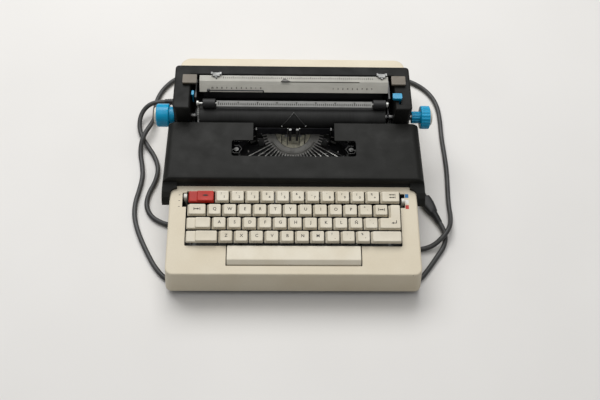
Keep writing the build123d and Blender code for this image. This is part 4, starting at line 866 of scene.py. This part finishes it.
RETURN_FOOT = (106.0, 134.2)
RETURN_ARM = (119.6, 134.2)
return_x = sum(RETURN_FOOT) / 2
row_run = math.hypot(ROW_Y[1] - ROW_Y[2], ROW_Z[1] - ROW_Z[2])
foot_half = (RETURN_FOOT[1] - RETURN_FOOT[0]) / 2
arm_left = RETURN_ARM[0] - return_x
arm_rear = CAP_DEPTH / 2 + row_run
return_outline = [
    (-foot_half, -CAP_DEPTH / 2), (foot_half, -CAP_DEPTH / 2), (foot_half, arm_rear),
    (arm_left, arm_rear), (arm_left, CAP_DEPTH / 2), (-foot_half, CAP_DEPTH / 2),
]
arm_middle = (arm_left + foot_half) / 2
return_cap = cap_skin(return_outline, centre=(arm_middle + 1.0, 0.0), dished=False)
return_stems = joined([stem_skin(0.0), stem_skin(arm_middle, row_run)])
add_key("return_key", on_row(return_cap, return_x, 2), on_row(return_stems, return_x, 2), "return_key")
print("keycaps:", sum(ROW_COUNT) + 9)

# %% [markdown]
# ## Letters and signs
# Legends are real shapes: each letter is typed as text, made a mesh, and bent onto its cap's dish a few
# hundredths of a millimetre proud. Letters sit in the middle of the top, and keys with two signs carry the
# small one at the upper left and the larger at the lower right.

# %% Legends
INK_PROUD = 0.02
INK_THICK = 0.03
STROKE_GROWTH = 0.09
CAPITAL_HEIGHT = 0.70
INK = (0.016, 0.013, 0.010)
INK_WORN = (0.07, 0.06, 0.045)
ink, ink_tree, ink_shader = new_finish("legend_ink", INK, 0.5)
ink_wear = spread(ink_tree, noise(ink_tree, 0.0006, 3.0), 0.45, 0.8, 0.0, 0.5)
ink_tree.links.new(mix_colour(ink_tree, ink_wear, INK, INK_WORN), ink_shader.inputs["Base Color"])


def text_skin(text, size, x, y):
    """Text of this letter height in millimetres, its strokes thickened a little, centred at a point."""
    curve = bpy.data.curves.new("typed", "FONT")
    curve.body = text
    curve.align_x = "CENTER"
    curve.align_y = "CENTER"
    curve.size = size / CAPITAL_HEIGHT
    curve.extrude = INK_THICK / 2
    curve.offset = STROKE_GROWTH
    curve.resolution_u = 3
    typed = bpy.data.objects.new("typed", curve)
    scene.collection.objects.link(typed)
    bpy.context.view_layer.update()
    mesh = bpy.data.meshes.new_from_object(typed.evaluated_get(bpy.context.evaluated_depsgraph_get()))
    mesh.transform(Matrix.Translation((x, y, 0.0)))
    points = np.empty(3 * len(mesh.vertices))
    mesh.vertices.foreach_get("co", points)
    faces = [np.array(polygon.vertices[:]) for polygon in mesh.polygons]
    bpy.data.objects.remove(typed)
    bpy.data.curves.remove(curve)
    bpy.data.meshes.remove(mesh)
    return points.reshape(-1, 3), np.empty((0, 4), int), faces


def on_dish(skin, corners=None):
    """Lay a flat plate on a cap's dish: each point takes the dish's height at its own place."""
    points, sides, ends = skin
    raised = points.copy()
    raised[:, 2] += INK_PROUD
    if corners is not None:
        raised[:, 2] += dish_level(points[:, 0], points[:, 1], corners, TOP_INSETS)
    return raised, sides, ends


def signs(pairs):
    """Flat plates for a cap's signs: (text, size, x, y) each."""
    return joined([text_skin(*pair) for pair in pairs])


def bar(x0, y0, x1, y1, width=0.7):
    """A straight stroke between two points."""
    run = np.array([x1 - x0, y1 - y0])
    beside = np.array([-run[1], run[0]]) / np.linalg.norm(run) * width / 2
    start = np.array([x0, y0])
    end = np.array([x1, y1])
    return prism([start - beside, end - beside, end + beside, start + beside], -INK_THICK / 2, INK_THICK / 2)


def arrow_head(x, y, way, size=1.4):
    """A small filled triangle pointing left or right."""
    rise = way * size * 0.75
    corners = [(x + way * size, y), (x - way * size, y + rise), (x - way * size, y - rise)]
    return prism(corners, -INK_THICK / 2, INK_THICK / 2)


def letter(text):
    """One letter in the middle of a cap's top."""
    return [(text, 3.9, 0.9, 0.7)]


def two_signs(upper, lower):
    """A small sign at the upper left and a larger one below it to the right."""
    return [(upper, 2.6, -0.9, 3.2), (lower, 3.3, 2.9, -1.2)]


NUMBER_SIGNS = (
    ("!", "1"), ('"', "2"), ("/", "3"), ("$", "4"), (")", "5"), ("&", "6"),
    ("_", "7"), ("'", "8"), ("?", "9"), ("(", "0"), ("%", "+"),
)
ROW_SIGNS = (
    [two_signs(*pair) for pair in NUMBER_SIGNS],
    [letter(text) for text in "QWERTYUIOP"] + [two_signs("^", "`")],
    [letter(text) for text in "ASDFGHJKLÑ"] + [two_signs("¨", "´")],
    [letter(text) for text in "ZXCVBNM"] + [two_signs("?", ","), two_signs(":", "."), two_signs("%", "-")],
)
single_corners = cap_outline(CAP_WIDTH)
for row, (body, row_signs) in enumerate(zip(ROW_BODIES, ROW_SIGNS)):
    plates = []
    for index, pairs in enumerate(row_signs):
        plate = on_dish(signs(pairs), single_corners)
        plates.append(on_row(plate, FIRST_KEY_X[row] + KEY_PITCH * index, row))
    add_piece(body + "_legends", joined(plates), ink, body)


def key_sign(name, plates, limits, row, body):
    """Strokes and arrow heads on one wide key."""
    sign = on_row(on_dish(joined(plates)), sum(limits) / 2, row)
    add_piece(name, sign, ink, body)


red_sign = [arrow_head(3.0, 1.0, -1, 1.5), arrow_head(8.2, 1.0, 1, 1.5), bar(4.6, 1.0, 6.6, 1.0, 2.0)]
key_sign("red_sign", red_sign, RED_KEY, 0, "red_key")
tab_sign = [bar(-2.8, 0.8, 1.4, 0.8), arrow_head(2.4, 0.8, 1)]
tab_sign += [bar(4.4, -0.8, 4.4, 2.4), bar(-3.2, -0.8, -3.2, 2.4)]
key_sign("tab_sign", tab_sign, TAB_KEY, 1, "tab_key")
back_sign = []
for line_y in (2.9, -0.7):
    back_sign.append(bar(0.2, line_y, 4.0, line_y))
    back_sign += [arrow_head(-0.4, line_y, -1, 1.1), arrow_head(4.8, line_y, 1, 1.1)]
    back_sign.append(bar(6.4, line_y - 1.2, 6.4, line_y + 1.2))
key_sign("backspace_sign", back_sign, BACKSPACE, 0, "backspace_key")
margin_sign = [bar(-0.6, 0.8, 2.6, 0.8), arrow_head(-1.0, 0.8, -1, 1.1), arrow_head(3.0, 0.8, 1, 1.1)]
margin_sign += [bar(-2.7, -0.8, -2.7, 2.4), bar(4.7, -0.8, 4.7, 2.4)]
key_sign("margin_sign", margin_sign, MARGIN_KEY, 1, "margin_release_key")
return_sign = [bar(3.4, 0.4, 8.4, 0.4, 0.9), arrow_head(3.4, 0.4, -1, 1.7), bar(8.4, 0.0, 8.4, 4.0, 0.9)]
key_sign("return_sign", return_sign, RETURN_FOOT, 2, "return_key")
print("legend rows:", len(ROW_SIGNS))

# %% [markdown]
# ## Printed scales
# A typewriter counts in tenths of an inch, one character each, so every scale here has ticks 2.54 mm apart.
# The paper table has a row of them on its top, and numerals on its sloping front. The bail has ticks on the
# lower half of its face and a number above every tenth. They are thin plates laid in the plane of the metal
# under them.

# %% Paper table and bail scales
CHARACTER_PITCH = 2.54
TABLE_TOP_EDGE = (0.0, 80.5, 120.0)
TABLE_TOP_TILT = 10.57
TABLE_FRONT_EDGE = (0.0, 76.5, 117.6)
TABLE_FRONT_TILT = 51.25
TABLE_TICKS = (-92.5, 103.3)
TABLE_TICK_Y = 3.9
NUMERAL_PITCH = 6.35
NUMERAL_Y = -4.4
NUMERAL_SIZE = 2.3
BAIL_PLACE = (0.7, 55.2, 105.0)
BAIL_TILT = 35.0
BAIL_TOP = 2.3
BAIL_HALF = 99.1
PLATE_PROUD = 0.04


def tick(x, y0, y1, width):
    """One upright stroke of a scale."""
    return prism(rectangle(x - width / 2, x + width / 2, y0, y1), -INK_THICK / 2, INK_THICK / 2)


def tick_row(x0, x1, y0, short, long, every, width):
    """Ticks between two limits, with a longer one at regular steps."""
    count = int(round((x1 - x0) / CHARACTER_PITCH)) + 1
    places = x0 + CHARACTER_PITCH * np.arange(count)
    lengths = [long if index % every == 0 else short for index in range(count)]
    return joined([tick(x, y0, y0 + length, width) for x, length in zip(places, lengths)])


def laid(skin, tilt, origin, height):
    """A flat plate laid in a plane that is tilted about X, this high above the plane's origin."""
    return moved(moved(skin, np.eye(3), (0.0, 0.0, height)), tilt_x(tilt), origin)


table_ticks = tick_row(*TABLE_TICKS, TABLE_TICK_Y, 2.0, 3.0, 5, 0.7)
table_scale = [laid(table_ticks, TABLE_TOP_TILT, TABLE_TOP_EDGE, PLATE_PROUD)]
for group_start, labels in ((-107.2, range(10, -1, -1)), (51.5, range(1, 10))):
    for index, label in enumerate(labels):
        numeral = text_skin(str(label), NUMERAL_SIZE, group_start + NUMERAL_PITCH * index, NUMERAL_Y)
        table_scale.append(laid(numeral, TABLE_FRONT_TILT, TABLE_FRONT_EDGE, PLATE_PROUD))
add_piece("table_scale", joined(table_scale), ink, "carriage")

bail_scale = [tick_row(-BAIL_HALF, BAIL_HALF, -1.9, 2.4, 3.0, 5, 1.0)]
for index in range(8):
    bail_scale.append(text_skin(str(10 * index), 1.5, -BAIL_HALF + CHARACTER_PITCH * 10 * index, 1.7))
bail_plate = laid(joined(bail_scale), BAIL_TILT, BAIL_PLACE, BAIL_TOP + PLATE_PROUD)
add_piece("bail_scale", bail_plate, ink, "paper_bail")

# %% [markdown]
# ## Marks on the deck
# Beside the right lever are three painted squares for the ribbon: blue, white and red. Beside the left one
# are three short strokes for how hard the type strikes. Both lie in the plane of the sloping deck.

# %% Deck marks
DECK_RISE_PER_RUN = 0.1739
DECK_TILT = math.degrees(math.atan(DECK_RISE_PER_RUN))
DECK_ORIGIN = (0.0, -166.5, 50.0)
SQUARE_X = 144.4
SQUARE_Y = (-62.4, -70.2, -77.3)
SQUARE_HALF = (2.2, 2.6)
STROKE_X = (-146.4, -144.6)
STROKE_Y = (-62.5, -70.2, -78.0)


def deck_run(y):
    """How far up the sloping deck a place is, from its distance behind the deck's front edge."""
    return (y - DECK_ORIGIN[1]) / math.cos(math.radians(DECK_TILT))


paints = {
    "blue": glossy("mark_blue", (0.012, 0.140, 0.330)),
    "white": glossy("mark_white", (0.72, 0.70, 0.66)),
    "red": glossy("mark_red", (0.48, 0.040, 0.030)),
}
for (colour, paint), y in zip(paints.items(), SQUARE_Y):
    middle = deck_run(y)
    corners = rectangle(SQUARE_X - SQUARE_HALF[0], SQUARE_X + SQUARE_HALF[0],
                        middle - SQUARE_HALF[1], middle + SQUARE_HALF[1])
    square = prism(rounded_outline(corners, 0.5), -0.02, 0.05)
    add_piece("mark_" + colour, laid(square, DECK_TILT, DECK_ORIGIN, 0.0), paint, "machine")
strokes = [bar(STROKE_X[0], deck_run(y), STROKE_X[1], deck_run(y)) for y in STROKE_Y]
stroke_plates = laid(joined(strokes), DECK_TILT, DECK_ORIGIN, PLATE_PROUD)
add_piece("force_marks", stroke_plates, ink, "machine")
print("deck marks:", len(paints) + len(strokes))

# %% [markdown]
# ## Screws on the segment
# Two slotted cheese-head screws hold the disc. A head is a short cylinder with a rolled rim. Its slot is
# not cut: a dark bar laid on its face is painted shade for the groove.

# %% Segment screws
SCREW_RADIUS = 2.1
SCREW_PLACES = ((-9.5, -7.5), (9.5, -7.5))


def circle(radius, count=24):
    """Points round a circle, anticlockwise."""
    turn = np.arange(count) * 2 * math.pi / count
    return radius * np.column_stack([np.cos(turn), np.sin(turn)])


def round_head(x, y, radius, low, high, rim=0.4):
    """A round head with a rolled rim."""
    rings = [level(circle(radius), low), level(circle(radius), high - rim)]
    for turn in (0.5, 1.0, math.pi / 2):
        rings.append(level(circle(radius - rim * (1 - math.cos(turn))), high - rim * (1 - math.sin(turn))))
    points, sides, ends = through(rings)
    return points + (x, y, 0.0), sides, ends


basket_origin = tuple(1000.0 * value for value in BASKET_CENTRE)
basket_turn = math.degrees(BASKET_TILT)
heads = joined([round_head(x, y, SCREW_RADIUS, -1.2, 0.4) for x, y in SCREW_PLACES])
head_skin = laid(heads, basket_turn, basket_origin, 0.0)
add_piece("segment_screws", head_skin, screw_finish, "machine")
# The slots are painted shade: flat dark ink bars stand in for the shade in each groove.
slots = [bar(x - 1.4, y - 0.5, x + 1.4, y + 0.5, 0.5) for x, y in SCREW_PLACES]
slot_shade_plates = laid(joined(slots), basket_turn, basket_origin, 0.41)
add_piece("screw_slot_shade", slot_shade_plates, ink, "machine")
print("segment screws:", len(SCREW_PLACES))

# %% [markdown]
# ## The plug
# A moulded two-pin plug lies flat at the end of the lead. Its body is drawn through superellipses, which
# are nearly round at the lead and nearly square at the face, and its collar has moulded rings that keep the
# lead from kinking. The pins are bright at the tip and sleeved in black near the body.

# %% Plug
PLUG_ANCHOR = (197.0, -66.0, 6.0)
PLUG_HEADING = math.radians(115.0)
COLLAR_LENGTH = 16.0
COLLAR_PITCH = 2.7
PIN_OFFSET = 4.0
PIN_RADIUS = 1.9
PIN_TIP = 59.0


def superellipse(half_width, half_height, power, count=40):
    """A closed outline of |x / a| to a power plus |y / b| to the same power equal to one."""
    turn = np.arange(count) * 2 * math.pi / count
    across = np.sign(np.cos(turn)) * np.abs(np.cos(turn)) ** (2.0 / power)
    upward = np.sign(np.sin(turn)) * np.abs(np.sin(turn)) ** (2.0 / power)
    return np.column_stack([half_width * across, half_height * upward])


def along_lead(skin):
    """A skin drawn along Z, laid down to run along the plug's heading from its anchor."""
    heading = np.array(Matrix.Rotation(PLUG_HEADING, 3, "Z"))
    lay_down = np.array([[0.0, 0.0, 1.0], [1.0, 0.0, 0.0], [0.0, 1.0, 0.0]])
    return moved(skin, heading @ lay_down, PLUG_ANCHOR)


def collar_rings():
    """Rings of the collar: its radius grows along it and dips between the moulded rings."""
    rings = []
    for run in np.linspace(0.0, COLLAR_LENGTH, 49):
        dip = 0.5 * max(0.0, math.cos(2 * math.pi * run / COLLAR_PITCH)) ** 2 if 1.0 < run < 14.5 else 0.0
        rings.append(level(superellipse(*(2 * [4.0 + 1.2 * run / COLLAR_LENGTH - dip]), 2.0), run))
    return rings


body_rings = []
for run, half_width, half_height, power in (
    (16.1, 5.6, 4.8, 2.4), (16.6, 6.0, 5.2, 2.8), (22.0, 7.1, 5.4, 3.2), (30.0, 8.2, 5.7, 3.8),
    (36.0, 8.0, 5.7, 4.2), (40.8, 7.6, 5.7, 4.6), (41.6, 7.3, 5.4, 4.6), (42.0, 6.8, 4.9, 4.6),
):
    body_rings.append(level(superellipse(half_width, half_height, power), run))
plug_skin = along_lead(through(collar_rings() + body_rings))
plug = add_piece("plug_body", plug_skin, plug_finish, "machine", ("mains_plug",))
sleeves = []
tips = []
for side in (-1, 1):
    sleeves.append(round_head(side * PIN_OFFSET, 0.0, PIN_RADIUS, 41.5, 50.0, 0.15))
    tips.append(round_head(side * PIN_OFFSET, 0.0, PIN_RADIUS - 0.1, 49.8, PIN_TIP, 1.1))
sleeve_skin = along_lead(joined(sleeves))
tip_skin = along_lead(joined(tips))
sleeve_piece = add_piece("pin_sleeves", sleeve_skin, plug_finish, "machine", ("mains_plug",))
tip_piece = add_piece("pin_tips", tip_skin, bright_finish, "machine", ("mains_plug",))

# %% [markdown]
# ## The table it stands on
# A wide pale sheet with the faintest unevenness. It isn't part of the machine.

# %% Table
TABLE_HALF = 3.0
TABLE_PALE = (0.68, 0.665, 0.64)
TABLE_DULL = (0.655, 0.64, 0.615)
table_mesh = bpy.data.meshes.new("table_top")
table_corners = [(x, y, 0.0) for x, y in rectangle(-TABLE_HALF, TABLE_HALF, -TABLE_HALF, TABLE_HALF)]
table_mesh.from_pydata(table_corners, [], [(0, 1, 2, 3)])
floor_paint, floor_tree, floor_shader = new_finish("table_paint", TABLE_PALE, 0.7)
uneven = spread(floor_tree, noise(floor_tree, 0.25, 3.0), 0.3, 0.7)
floor_tone = mix_colour(floor_tree, uneven, TABLE_PALE, TABLE_DULL)
floor_tree.links.new(floor_tone, floor_shader.inputs["Base Color"])
table_mesh.materials.append(floor_paint)
table_top = bpy.data.objects.new("table_top", table_mesh)
scene.collection.objects.link(table_top)
